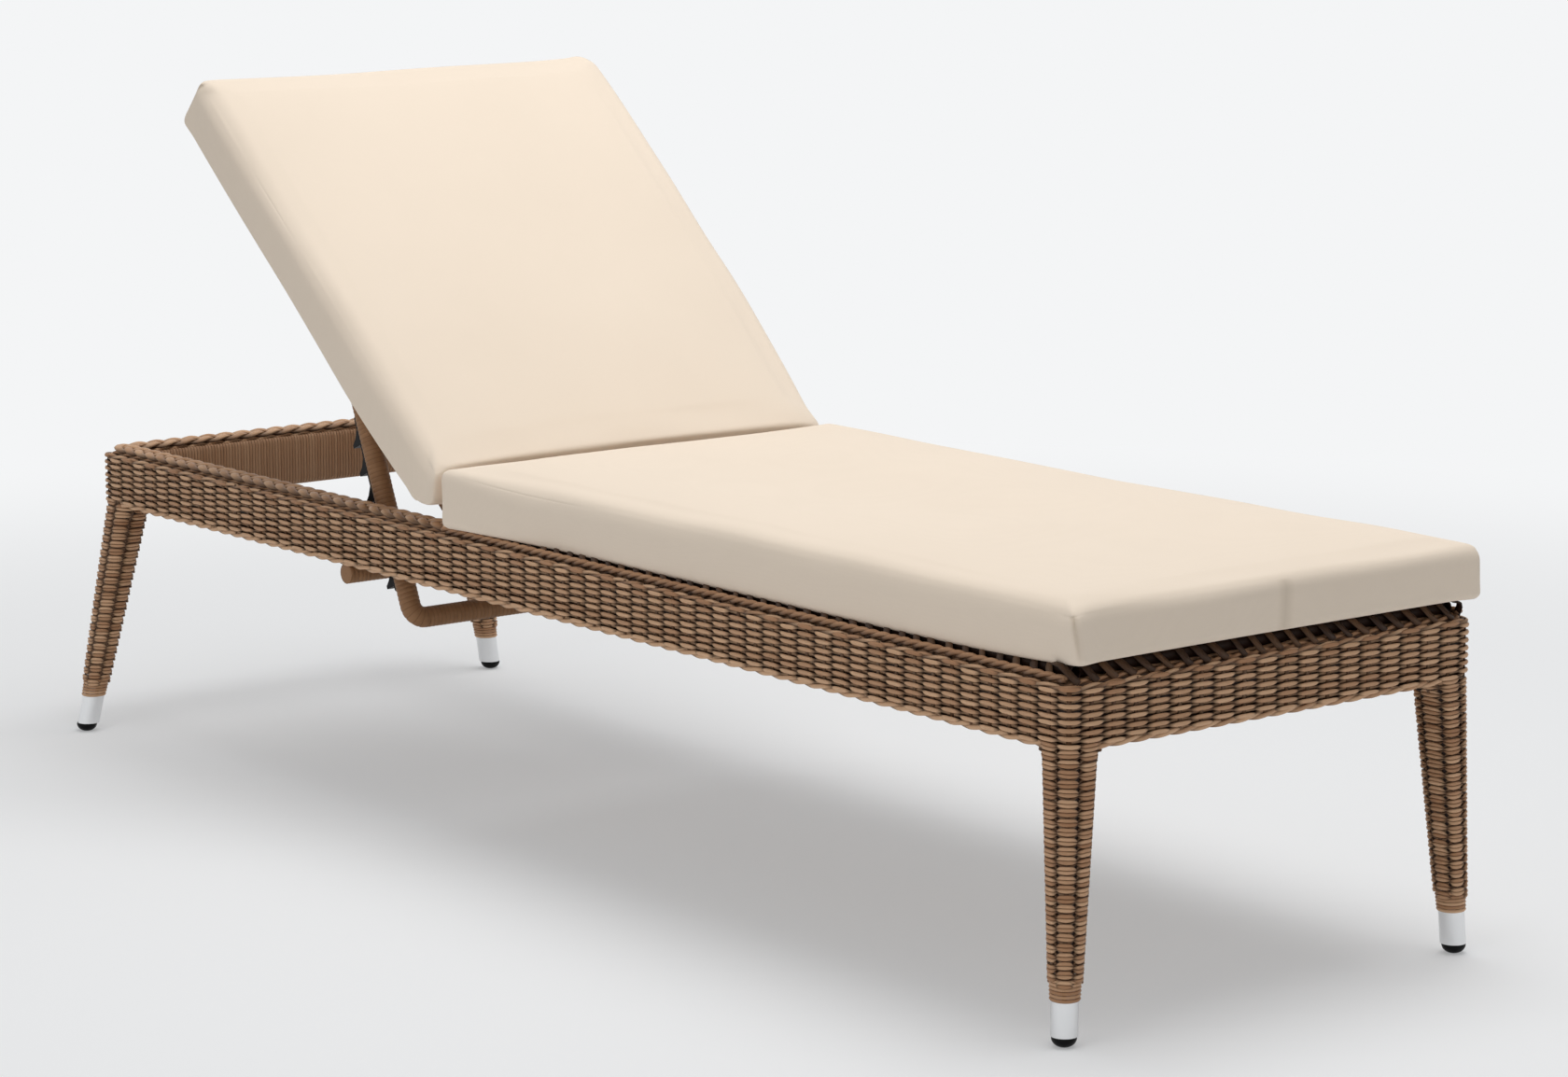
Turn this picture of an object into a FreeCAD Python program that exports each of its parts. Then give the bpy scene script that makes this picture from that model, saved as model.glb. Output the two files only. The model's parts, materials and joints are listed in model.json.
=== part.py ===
import FreeCAD, Part
import math
import os
import re

import Sketcher
from FreeCAD import Placement, Rotation, Vector

# Sun lounger: woven rails and legs over an aluminium frame, a tilting backrest on a toothed prop.
# X runs from the head end to the foot end, Y from the near side to the far side, Z up from the floor.

# Driving dimensions in millimetres and degrees
DIMENSIONS = {
    "frame_length": 2000,
    "frame_width": 610,
    "rail_top": 394,
    "rail_height": 75,
    "rail_thickness": 40,
    "rail_edge_radius": 9,
    "frame_corner_radius": 16,
    "weave_thickness": 5,
    "fit_gap": 0.2,
    "cut_margin": 1,
    "rail_tube_wall": 2,
    "rail_tube_radius": 5,
    "side_tube_end_inset": 15,
    "leg_top_width": 48,
    "leg_top_radius": 16,
    "leg_end_width": 33,
    "leg_end_radius": 15.5,
    "leg_tube_diameter": 30,
    "leg_tube_wall": 1.5,
    "leg_hole_margin": 1.5,
    "bare_tube_length": 38,
    "foot_leg_spread_length": 16,
    "foot_leg_spread_width": 18,
    "head_leg_spread_length": 23.5,
    "head_leg_spread_width": 62,
    "glide_diameter": 28,
    "glide_height": 12,
    "glide_round": 8.5,
    "glide_stem_diameter": 14,
    "glide_stem_length": 9,
    "seat_tube_diameter": 16,
    "seat_tube_wall": 1.5,
    "seat_cross_tubes": 3,
    "deck_thickness": 2.5,
    "deck_strap": 22,
    "deck_gaps_across": 8,
    "seat_deck_gaps_along": 14,
    "back_deck_gaps_along": 9,
    "seat_cushion_overhang": 13.5,
    "cushion_width": 626,
    "seat_cushion_thickness": 63.5,
    "cushion_rest_gap": 0.5,
    "cushion_corner_radius": 16,
    "cushion_edge_round": 9,
    "cushion_crown": 5,
    "cushion_tuck": 4,
    "hinge_from_head": 795,
    "hinge_setback": 45.5,
    "hinge_drop": 2,
    "hinge_play": 0.3,
    "back_angle": 40.4,
    "back_tube_diameter": 27,
    "back_tube_wall": 2,
    "back_frame_length": 712,
    "back_tube_tail": 17,
    "back_low_tube": 62,
    "back_mid_tube": 400,
    "back_deck_thickness": 4,
    "back_cushion_start": 28,
    "back_cushion_overhang": 13,
    "back_cushion_thickness": 76,
    "back_cushion_heel": 46,
    "hinge_pin_diameter": 10,
    "hinge_head_diameter": 16,
    "hinge_head_height": 4,
    "bush_diameter": 15,
    "bush_flange_diameter": 22,
    "bush_flange_thickness": 1,
    "running_gap": 0.05,
    "bracket_thickness": 5,
    "bracket_width": 26,
    "bracket_drop": 44,
    "plate_corner": 11,
    "prop_pivot_along": 292,
    "prop_pivot_drop": 31,
    "prop_lean": 22.9,
    "prop_diameter": 27,
    "prop_wall": 4,
    "prop_length": 331,
    "prop_bend": 18,
    "prop_end_past_pivot": 9,
    "pivot_pin_diameter": 8,
    "pivot_head_diameter": 13,
    "pivot_head_height": 2,
    "clevis_thickness": 3,
    "clevis_gap": 0.3,
    "clevis_width": 30,
    "clevis_rise": 6,
    "teeth_above_catch": 4,
    "catch_below_tooth": 7.92,
    "catch_offset": 45.17,
    "catch_diameter": 27,
    "catch_wall": 4,
    "rack_width": 14,
    "rack_back": 16.5,
    "rack_tip": 33.5,
    "rack_seat": 6.75,
    "rack_corner": 3,
    "rack_start": 55,
    "rack_end": 290,
    "rack_teeth": 6,
    "tooth_pitch": 38,
    "first_tooth": 92.4,
    "tooth_length": 22,
    "tooth_nose": 4,
    "tooth_root": 1,
    "tooth_waist_depth": 8.5,
    "tooth_waist_length": 10,
}

# Derived places, as expressions in the names above
RAIL_BOTTOM = "(rail_top - rail_height)"
HALF_LENGTH = "(frame_length / 2)"
HALF_WIDTH = "(frame_width / 2)"
RAIL_INNER_Y = "(frame_width / 2 - rail_thickness)"
TUBE_OUTER_Y = "(frame_width / 2 - weave_thickness)"
TUBE_INNER_Y = "(frame_width / 2 - rail_thickness + weave_thickness)"
TUBE_BOTTOM = "(rail_top - rail_height + weave_thickness)"
TUBE_TOP = "(rail_top - weave_thickness)"
LEG_TOP_X = "(frame_length / 2 - leg_top_width / 2)"
LEG_TOP_Y = "(frame_width / 2 - leg_top_width / 2)"
SEAT_TUBE_Y = "(frame_width / 2 - leg_top_width / 2)"
SEAT_TUBE_FOOT_X = "(frame_length / 2 - leg_top_width / 2)"
SEAT_TUBE_Z = "(rail_top + seat_tube_diameter / 2)"
SEAT_DECK_BOTTOM = "(rail_top + seat_tube_diameter)"
SEAT_CUSHION_BOTTOM = "(rail_top + seat_tube_diameter + deck_thickness + cushion_rest_gap)"
BACK_DECK_BOTTOM = "(back_tube_diameter / 2)"
BACK_CUSHION_BOTTOM = "(back_tube_diameter / 2 + back_deck_thickness + cushion_rest_gap)"
CLEVIS_INNER = "(prop_diameter / 2 + clevis_gap)"
CLEVIS_OUTER = "(prop_diameter / 2 + clevis_gap + clevis_thickness)"
HINGE_X = "(hinge_from_head - frame_length / 2)"
SEAT_HEAD_X = "(hinge_from_head - frame_length / 2 + hinge_setback)"
HINGE_Z = "(rail_top - hinge_drop)"
BACK_Y = (
    "(frame_width / 2 - rail_thickness - bracket_thickness - hinge_play"
    " - bush_flange_thickness - fit_gap - back_tube_diameter / 2)"
)
PIVOT_X = f"({HINGE_X} - prop_pivot_along * cos(back_angle) - prop_pivot_drop * sin(back_angle))"
PIVOT_Z = f"({HINGE_Z} + prop_pivot_along * sin(back_angle) - prop_pivot_drop * cos(back_angle))"
CATCH_ALONG = "(first_tooth + teeth_above_catch * tooth_pitch + catch_below_tooth)"
CATCH_X = f"({PIVOT_X} + {CATCH_ALONG} * sin(prop_lean) - catch_offset * cos(prop_lean))"
CATCH_Z = f"({PIVOT_Z} - {CATCH_ALONG} * cos(prop_lean) - catch_offset * sin(prop_lean))"

# Cushion profile as shares of its edge round, crown and heel
EDGE_SHARE = 0.3
CROWN_SHARE = 0.75
CROWN_START = 6
CROWN_FULL = 12
HEEL_SHARE = 0.55

# Turns of a glide's dome, from its flat underside to its rim, in degrees
DOME_TURNS = (0, 30, 60, 90)

# Largest difference in height at which an edge still counts as level, in millimetres
LEVEL_TOLERANCE = 0.5

SIDES = {"near": -1, "far": 1}
ENDS = {"foot": 1, "head": -1}

doc = FreeCAD.newDocument("sun_lounger")
sheet = doc.addObject("Spreadsheet::Sheet", "sizes")
for row, (alias, size) in enumerate(DIMENSIONS.items(), start=1):
    sheet.set(f"A{row}", alias)
    sheet.set(f"B{row}", str(size))
    sheet.setAlias(f"B{row}", alias)
doc.recompute()

pieces = []


def linked(expression):
    """An expression in the sheet's names, as other objects refer to them."""
    def with_sheet(match):
        word = match.group(0)
        return f"sizes.{word}" if word in DIMENSIONS else word
    return re.sub(r"[a-z_]+", with_sheet, str(expression))


def value(expression):
    return float(sheet.evalExpression(linked(expression)))


def bind(item, **properties):
    for name, expression in properties.items():
        item.setExpression(name, linked(expression))


def place(item, x="0", y="0", z="0", tilt="0"):
    """Set a piece at a point, tilted about Y."""
    item.Placement = Placement(Vector(), Rotation(Vector(0, 1, 0), 1))
    for axis, expression in zip("xyz", (x, y, z)):
        item.setExpression(f"Placement.Base.{axis}", linked(expression))
    item.setExpression("Placement.Rotation.Angle", linked(tilt))


def place_on_hinge(item):
    place(item, x=HINGE_X, z=HINGE_Z, tilt="back_angle")


def place_on_pivot(item):
    place(item, x=PIVOT_X, z=PIVOT_Z, tilt="-prop_lean")


def new_body(label):
    body = doc.addObject("PartDesign::Body", label)
    body.Label = label
    pieces.append(body)
    return body


def new_sketch(body, role, height="0"):
    plane = next(item for item in body.Origin.OriginFeatures if item.Role == role)
    sketch = body.newObject("Sketcher::SketchObject", "outline")
    sketch.AttachmentSupport = [(plane, "")]
    sketch.MapMode = "FlatFace"
    sketch.setExpression("AttachmentOffset.Base.z", linked(height))
    return sketch


def fix(sketch, kind, *where, size):
    index = sketch.addConstraint(Sketcher.Constraint(kind, *where, value(size)))
    sketch.setExpression(f"Constraints[{index}]", linked(size))


def fix_point(sketch, geometry, end, x, y):
    """Hold a point of the sketch at x, y from the origin."""
    if str(x) == "0":
        sketch.addConstraint(Sketcher.Constraint("PointOnObject", geometry, end, -2))
    else:
        fix(sketch, "DistanceX", -1, 1, geometry, end, size=x)
    if str(y) == "0":
        sketch.addConstraint(Sketcher.Constraint("PointOnObject", geometry, end, -1))
    else:
        fix(sketch, "DistanceY", -1, 1, geometry, end, size=y)


def circle(sketch, x, y, radius):
    centre = Vector(value(x), value(y), 0)
    geometry = sketch.addGeometry(Part.Circle(centre, Vector(0, 0, 1), value(radius)))
    fix_point(sketch, geometry, 3, x, y)
    fix(sketch, "Radius", geometry, size=radius)


def polygon(sketch, corners):
    """A closed outline of straight edges through corners given as expressions."""
    points = [Vector(value(x), value(y), 0) for x, y in corners]
    edges = []
    for start, end in zip(points, points[1:] + points[:1]):
        edges.append(sketch.addGeometry(Part.LineSegment(start, end)))
    for edge, following in zip(edges, edges[1:] + edges[:1]):
        sketch.addConstraint(Sketcher.Constraint("Coincident", edge, 2, following, 1))
    for edge, (x, y) in zip(edges, corners):
        fix_point(sketch, edge, 1, x, y)


def rounded_rectangle(sketch, left, right, bottom, top, radius):
    """A rectangle with four equal rounded corners."""
    low_x, high_x, low_y, high_y = (value(side) for side in (left, right, bottom, top))
    bend = value(radius)
    ends = [
        (Vector(low_x + bend, low_y), Vector(high_x - bend, low_y)),
        (Vector(high_x, low_y + bend), Vector(high_x, high_y - bend)),
        (Vector(high_x - bend, high_y), Vector(low_x + bend, high_y)),
        (Vector(low_x, high_y - bend), Vector(low_x, low_y + bend)),
    ]
    centres = [
        Vector(high_x - bend, low_y + bend),
        Vector(high_x - bend, high_y - bend),
        Vector(low_x + bend, high_y - bend),
        Vector(low_x + bend, low_y + bend),
    ]
    lines = [sketch.addGeometry(Part.LineSegment(start, end)) for start, end in ends]
    arcs = []
    for turn, centre in enumerate(centres):
        start = (turn - 1) * math.pi / 2
        ring = Part.Circle(centre, Vector(0, 0, 1), bend)
        arcs.append(sketch.addGeometry(Part.ArcOfCircle(ring, start, start + math.pi / 2)))
    for line, arc, following in zip(lines, arcs, lines[1:] + lines[:1]):
        sketch.addConstraint(Sketcher.Constraint("Tangent", line, 2, arc, 1))
        sketch.addConstraint(Sketcher.Constraint("Tangent", arc, 2, following, 1))
    for line, kind in zip(lines, ("Horizontal", "Vertical", "Horizontal", "Vertical")):
        sketch.addConstraint(Sketcher.Constraint(kind, line))
    for arc in arcs[1:]:
        sketch.addConstraint(Sketcher.Constraint("Equal", arcs[0], arc))
    fix(sketch, "Radius", arcs[0], size=radius)
    fix(sketch, "DistanceY", -1, 1, lines[0], 1, size=bottom)
    fix(sketch, "DistanceX", -1, 1, lines[1], 1, size=right)
    fix(sketch, "DistanceY", -1, 1, lines[2], 1, size=top)
    fix(sketch, "DistanceX", -1, 1, lines[3], 1, size=left)


def pad(body, sketch, length, symmetric=False, reverse=False):
    feature = body.newObject("PartDesign::Pad", "pad")
    feature.Profile = sketch
    feature.SideType = "Symmetric" if symmetric else "One side"
    feature.Reversed = reverse
    bind(feature, Length=length)
    return feature


def pocket(body, sketch, length, symmetric=False, reverse=False):
    """Cut a sketch out of a body and make sure that it took something away."""
    doc.recompute()
    before = body.Shape.Volume
    feature = body.newObject("PartDesign::Pocket", "pocket")
    feature.Profile = sketch
    feature.SideType = "Symmetric" if symmetric else "One side"
    feature.Reversed = reverse
    bind(feature, Length=length)
    doc.recompute()
    if body.Shape.Volume >= before:
        raise RuntimeError(f"pocket in {body.Label} cuts nothing")
    return feature


def loft(body, kind, first, second):
    feature = body.newObject(f"PartDesign::{kind}", "loft")
    feature.Profile = first
    feature.Sections = [second]
    return feature


def tube_along_x(label, start, end, y, z, diameter, wall):
    """A round tube along X between two places."""
    body = new_body(label)
    sketch = new_sketch(body, "YZ_Plane", start)
    circle(sketch, y, z, f"{diameter} / 2")
    circle(sketch, y, z, f"{diameter} / 2 - {wall}")
    pad(body, sketch, f"({end}) - ({start})")
    return body


def tube_along_y(label, x, z, length, diameter, wall):
    """A round tube along Y, centred on the middle plane."""
    body = new_body(label)
    sketch = new_sketch(body, "XZ_Plane")
    circle(sketch, x, z, f"{diameter} / 2")
    circle(sketch, x, z, f"{diameter} / 2 - {wall}")
    pad(body, sketch, length, symmetric=True)
    return body


def rail_box(sketch, low, high, inset, radius):
    """Section of a rail, inset all round."""
    rounded_rectangle(
        sketch,
        f"{low} + {inset}",
        f"{high} - {inset}",
        f"{RAIL_BOTTOM} + {inset}",
        f"rail_top - {inset}",
        radius,
    )


def side_rail_weave(name, side):
    """Woven skin of a long rail, closed round the corners of the frame."""
    body = new_body(f"rail_weave_{name}")
    plan = new_sketch(body, "XY_Plane", RAIL_BOTTOM)
    rounded_rectangle(
        plan, f"-{HALF_LENGTH}", HALF_LENGTH, f"-{HALF_WIDTH}", HALF_WIDTH, "frame_corner_radius")
    pad(body, plan, "rail_height")
    rest = new_sketch(body, "XY_Plane", RAIL_BOTTOM)
    past_end, past_side = f"({HALF_LENGTH} + rail_thickness)", f"{side} * -({HALF_WIDTH} + rail_thickness)"
    polygon(rest, [
        (f"-{past_end}", f"{side} * {RAIL_INNER_Y}"),
        (past_end, f"{side} * {RAIL_INNER_Y}"),
        (past_end, past_side),
        (f"-{past_end}", past_side),
    ])
    pocket(body, rest, "rail_height", reverse=True)
    round_rail_edges(body)

    hollow = new_sketch(body, "XY_Plane", f"{RAIL_BOTTOM} + weave_thickness")
    reach_in = f"{side} * ({RAIL_INNER_Y} - cut_margin)"
    tube_in, tube_out = f"{side} * {TUBE_INNER_Y}", f"{side} * {TUBE_OUTER_Y}"
    tube_end = f"({HALF_LENGTH} - side_tube_end_inset)"
    end_in = f"({HALF_LENGTH} - rail_thickness + weave_thickness)"
    end_out = f"({HALF_LENGTH} - weave_thickness)"
    polygon(hollow, [
        (f"-{tube_end}", tube_out),
        (tube_end, tube_out),
        (tube_end, tube_in),
        (end_out, tube_in),
        (end_out, reach_in),
        (end_in, reach_in),
        (end_in, tube_in),
        (f"-{end_in}", tube_in),
        (f"-{end_in}", reach_in),
        (f"-{end_out}", reach_in),
        (f"-{end_out}", tube_in),
        (f"-{tube_end}", tube_in),
    ])
    pocket(body, hollow, f"{TUBE_TOP} - {TUBE_BOTTOM}", reverse=True)

    leg_holes = new_sketch(body, "XY_Plane", RAIL_BOTTOM)
    for end in ENDS.values():
        circle(leg_holes, f"{end} * {LEG_TOP_X}", f"{side} * {LEG_TOP_Y}",
               "leg_tube_diameter / 2 + leg_hole_margin")
    pocket(body, leg_holes, "weave_thickness", reverse=True)

    saddle = new_sketch(body, "XZ_Plane")
    circle(saddle, CATCH_X, CATCH_Z, "catch_diameter / 2 + fit_gap")
    pocket(body, saddle, f"{TUBE_OUTER_Y} + fit_gap", reverse=side < 0)

    return body


def round_rail_edges(body):
    """Round a rail's edges all along its top and bottom."""
    base = body.Tip
    heights = (value(RAIL_BOTTOM), value("rail_top"))
    names = []
    for index, edge in enumerate(body.Shape.Edges, start=1):
        box = edge.BoundBox
        away = min(abs(box.Center.z - height) for height in heights)
        if box.ZLength < LEVEL_TOLERANCE and away < LEVEL_TOLERANCE:
            names.append(f"Edge{index}")
    feature = body.newObject("PartDesign::Fillet", "soft_edges")
    feature.Base = (base, names)
    bind(feature, Radius="rail_edge_radius")
    doc.recompute()


def end_rail_weave(name, end):
    """Woven skin of a short rail, between the long ones."""
    body = new_body(f"rail_weave_{name}")
    section = new_sketch(body, "XZ_Plane")
    outer, inner = f"{end} * {HALF_LENGTH}", f"{end} * ({HALF_LENGTH} - rail_thickness)"
    low, high = (outer, inner) if end < 0 else (inner, outer)
    rail_box(section, low, high, "0", "rail_edge_radius")
    rail_box(section, low, high, "weave_thickness", "rail_tube_radius")
    pad(body, section, f"2 * {RAIL_INNER_Y}", symmetric=True)
    return body


def rail_tube(name, role, outer, inner, sign, length):
    """Rectangular aluminium tube inside a rail's weave."""
    body = new_body(f"rail_tube_{name}")
    section = new_sketch(body, role)
    low, high = (f"{sign} * {outer}", f"{sign} * {inner}")
    if sign > 0:
        low, high = high, low
    inset = "(weave_thickness + fit_gap)"
    rail_box(section, low, high, inset, "rail_tube_radius")
    rail_box(section, low, high, f"({inset} + rail_tube_wall)", "rail_tube_radius - rail_tube_wall")
    pad(body, section, length, symmetric=True)
    return body


def leg_axis(end, side, height):
    """Place of a leg's axis at a height, as two expressions."""
    names = {1: "foot", -1: "head"}
    share = f"(1 - ({height}) / {RAIL_BOTTOM})"
    x = f"{end} * ({LEG_TOP_X} + {names[end]}_leg_spread_length * {share})"
    y = f"{side} * ({LEG_TOP_Y} + {names[end]}_leg_spread_width * {share})"
    return x, y


def leg_ring(body, end, side, height, radius):
    sketch = new_sketch(body, "XY_Plane", height)
    x, y = leg_axis(end, side, height)
    circle(sketch, x, y, radius)
    return sketch


def leg_square(body, end, side, height, width, radius):
    sketch = new_sketch(body, "XY_Plane", height)
    x, y = leg_axis(end, side, height)
    half = f"{width} / 2"
    rounded_rectangle(sketch, f"{x} - {half}", f"{x} + {half}", f"{y} - {half}", f"{y} + {half}", radius)
    return sketch


def leg_weave(name, end, side):
    """Tapering woven skin of a splayed leg."""
    body = new_body(f"leg_weave_{name}")
    low, high = "(glide_height + bare_tube_length)", RAIL_BOTTOM
    bottom = leg_square(body, end, side, low, "leg_end_width", "leg_end_radius")
    top = leg_square(body, end, side, high, "leg_top_width", "leg_top_radius")
    loft(body, "AdditiveLoft", bottom, top)
    bore = "leg_tube_diameter / 2 + fit_gap"
    loft(body, "SubtractiveLoft", leg_ring(body, end, side, low, bore), leg_ring(body, end, side, high, bore))
    return body


def leg_tube(name, end, side):
    """Round aluminium tube of a leg, bare below the weave."""
    body = new_body(f"leg_tube_{name}")
    low, high = "glide_height", TUBE_BOTTOM
    for kind, radius in (
        ("AdditiveLoft", "leg_tube_diameter / 2"),
        ("SubtractiveLoft", "leg_tube_diameter / 2 - leg_tube_wall"),
    ):
        loft(body, kind, leg_ring(body, end, side, low, radius), leg_ring(body, end, side, high, radius))
    return body


def glide(name, end, side):
    """Domed floor glide with a stem that plugs into the leg tube."""
    body = new_body(f"glide_{name}")
    sketch = new_sketch(body, "XZ_Plane")
    outline = [("0", "0")]
    for turn in DOME_TURNS:
        outline.append((
            f"glide_diameter / 2 - glide_round + glide_round * sin({turn})",
            f"glide_round - glide_round * cos({turn})",
        ))
    outline += [
        ("glide_diameter / 2", "glide_height"),
        ("glide_stem_diameter / 2", "glide_height"),
        ("glide_stem_diameter / 2", "glide_height + glide_stem_length"),
        ("0", "glide_height + glide_stem_length"),
    ]
    polygon(sketch, outline)
    feature = body.newObject("PartDesign::Revolution", "turned")
    feature.Profile = sketch
    feature.ReferenceAxis = (sketch, ["V_Axis"])
    feature.Angle = 360
    x, y = leg_axis(end, side, "0")
    place(body, x=x, y=y)
    return body


def seat_frame():
    """Raised tubes round and across the seat, lying on the rails."""
    tube = ("seat_tube_diameter", "seat_tube_wall")
    for name, side in SIDES.items():
        tube_along_x(
            f"seat_edge_tube_{name}", f"{SEAT_HEAD_X} - seat_tube_diameter / 2",
            f"{SEAT_TUBE_FOOT_X} + seat_tube_diameter / 2", f"{side} * {SEAT_TUBE_Y}", SEAT_TUBE_Z, *tube)
    between = f"2 * {SEAT_TUBE_Y} - seat_tube_diameter - 2 * fit_gap"
    tube_along_y("seat_edge_tube_foot", SEAT_TUBE_FOOT_X, SEAT_TUBE_Z, between, *tube)
    tube_along_y("seat_edge_tube_head", SEAT_HEAD_X, SEAT_TUBE_Z, between, *tube)
    count = int(value("seat_cross_tubes"))
    for index in range(1, count + 1):
        x = f"{SEAT_HEAD_X} + ({SEAT_TUBE_FOOT_X} - {SEAT_HEAD_X}) * {index} / (seat_cross_tubes + 1)"
        tube_along_y(f"seat_cross_tube_{index}", x, SEAT_TUBE_Z, between, *tube)


def box_wire(low_x, high_x, low_y, high_y, height):
    return Part.makePolygon([
        Vector(low_x, low_y, height), Vector(high_x, low_y, height), Vector(high_x, high_y, height),
        Vector(low_x, high_y, height), Vector(low_x, low_y, height),
    ])


def net(label, start, end, width, base, thickness, gaps_along, gaps_across):
    """A flat woven deck: one face with a grid of gaps, given its thickness."""
    strap = value("deck_strap")
    half_wide = width / 2
    length = end - start
    gap_long = (length - strap * (gaps_along + 1)) / gaps_along
    gap_wide = (width - strap * (gaps_across + 1)) / gaps_across
    wires = [box_wire(start, end, -half_wide, half_wide, base)]
    for along in range(gaps_along):
        for across in range(gaps_across):
            low_x = start + strap + along * (gap_long + strap)
            low_y = strap + across * (gap_wide + strap) - half_wide
            wires.append(box_wire(low_x, low_x + gap_long, low_y, low_y + gap_wide, base))
    deck = doc.addObject("Part::Feature", label)
    deck.Label = label
    deck.Shape = Part.makeFace(wires, "Part::FaceMakerBullseye").extrude(Vector(0, 0, thickness))
    pieces.append(deck)
    return deck


def seat_deck():
    net("seat_deck",
        value(f"{SEAT_HEAD_X} - seat_tube_diameter / 2"),
        value(f"{SEAT_TUBE_FOOT_X} + seat_tube_diameter / 2"),
        value(f"2 * {SEAT_TUBE_Y} + seat_tube_diameter"),
        value(SEAT_DECK_BOTTOM),
        value("deck_thickness"),
        int(value("seat_deck_gaps_along")),
        int(value("deck_gaps_across")))


def cushion_outline(low_x, high_x, half_wide, height, corner, tuck):
    """Plan of a cushion at one height: corners round, sides drawn in between them."""
    diagonal = corner * (1 - math.sqrt(0.5))
    mid_x = (low_x + high_x) / 2
    points = [
        (Vector(low_x + corner, -half_wide), Vector(mid_x, tuck - half_wide)),
        (Vector(high_x - corner, -half_wide), Vector(high_x - diagonal, diagonal - half_wide)),
        (Vector(high_x, corner - half_wide), Vector(high_x - tuck, 0)),
        (Vector(high_x, half_wide - corner), Vector(high_x - diagonal, half_wide - diagonal)),
        (Vector(high_x - corner, half_wide), Vector(mid_x, half_wide - tuck)),
        (Vector(low_x + corner, half_wide), Vector(low_x + diagonal, half_wide - diagonal)),
        (Vector(low_x, half_wide - corner), Vector(low_x + tuck, 0)),
        (Vector(low_x, corner - half_wide), Vector(low_x + diagonal, diagonal - half_wide)),
    ]
    edges = []
    for (start, through), (end, _) in zip(points, points[1:] + points[:1]):
        edges.append(Part.Arc(start, through, end).toShape())
    wire = Part.Wire(edges)
    wire.translate(Vector(0, 0, height))
    return wire


def cushion(label, start, end, base, thickness, heel=0.0):
    """A box cushion with a crowned top and drawn-in sides; heel rounds the lower edge of its end."""
    crown, edge = value("cushion_crown"), value("cushion_edge_round")
    corner, tuck = value("cushion_corner_radius"), value("cushion_tuck")
    half_wide = value("cushion_width") / 2
    shoulder = thickness - crown
    levels = [
        (0.0, edge),
        (edge * EDGE_SHARE, edge * EDGE_SHARE),
        (edge, 0.0),
        (shoulder - edge, 0.0),
        (shoulder - edge * EDGE_SHARE, edge * EDGE_SHARE),
        (shoulder, edge),
        (shoulder + crown * CROWN_SHARE, edge * CROWN_START),
        (thickness, edge * CROWN_FULL),
    ]
    if heel:
        levels.insert(3, (heel * HEEL_SHARE, 0.0))
        levels.insert(4, (heel, 0.0))
    sections = []
    for height, inset in levels:
        below = max(heel - height, 0.0)
        lift = heel - math.sqrt(heel * heel - below * below) if heel else 0.0
        sections.append(cushion_outline(
            start + inset, end - max(inset, lift), half_wide - inset, base + height, corner, tuck))
    item = doc.addObject("Part::Feature", label)
    item.Label = label
    item.Shape = Part.makeLoft(sections, True, True)
    pieces.append(item)
    return item


def seat_cushion():
    cushion("seat_cushion", value(SEAT_HEAD_X), value(f"{HALF_LENGTH} + seat_cushion_overhang"),
            value(SEAT_CUSHION_BOTTOM), value("seat_cushion_thickness"))


def catch_bar():
    """Wrapped bar across the frame that the prop's teeth rest on."""
    tube_along_y("catch_bar", CATCH_X, CATCH_Z, f"2 * {TUBE_OUTER_Y}",
                 "catch_diameter", "catch_wall")


def hinge_bracket(name, side):
    """Plate on the inside of a rail that carries the backrest's hinge pin."""
    body = new_body(f"hinge_bracket_{name}")
    sketch = new_sketch(body, "XZ_Plane")
    half = "bracket_width / 2"
    rounded_rectangle(sketch, f"-{half}", half, "-bracket_drop", half, "plate_corner")
    circle(sketch, "0", "0", "hinge_pin_diameter / 2")
    pad(body, sketch, "bracket_thickness", reverse=side < 0)
    place(body, x=HINGE_X, y=f"{side} * {RAIL_INNER_Y}", z=HINGE_Z)
    return body


def turned_pin(label, steps):
    """A stepped round pin along Y: each step is a start, a length and a diameter."""
    body = new_body(label)
    for start, length, diameter in steps:
        sketch = new_sketch(body, "XZ_Plane", f"-({start})")
        circle(sketch, "0", "0", f"{diameter} / 2")
        pad(body, sketch, length, reverse=True)
    return body


def hinge_pin(name, side):
    """Shoulder pin through the bracket and the side tube's bush."""
    inner_face = f"{BACK_Y} - back_tube_diameter / 2 - fit_gap - bush_flange_thickness - hinge_play"
    shank = f"({RAIL_INNER_Y} - ({inner_face}))"
    head_start, shank_start = f"-{shank} - hinge_head_height", f"-{shank}"
    if side < 0:
        head_start, shank_start = shank, "0"
    body = turned_pin(f"hinge_pin_{name}", [
        (shank_start, shank, "hinge_pin_diameter"),
        (head_start, "hinge_head_height", "hinge_head_diameter"),
    ])
    place(body, x=HINGE_X, y=f"{side} * {RAIL_INNER_Y}", z=HINGE_Z)
    return body


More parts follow.
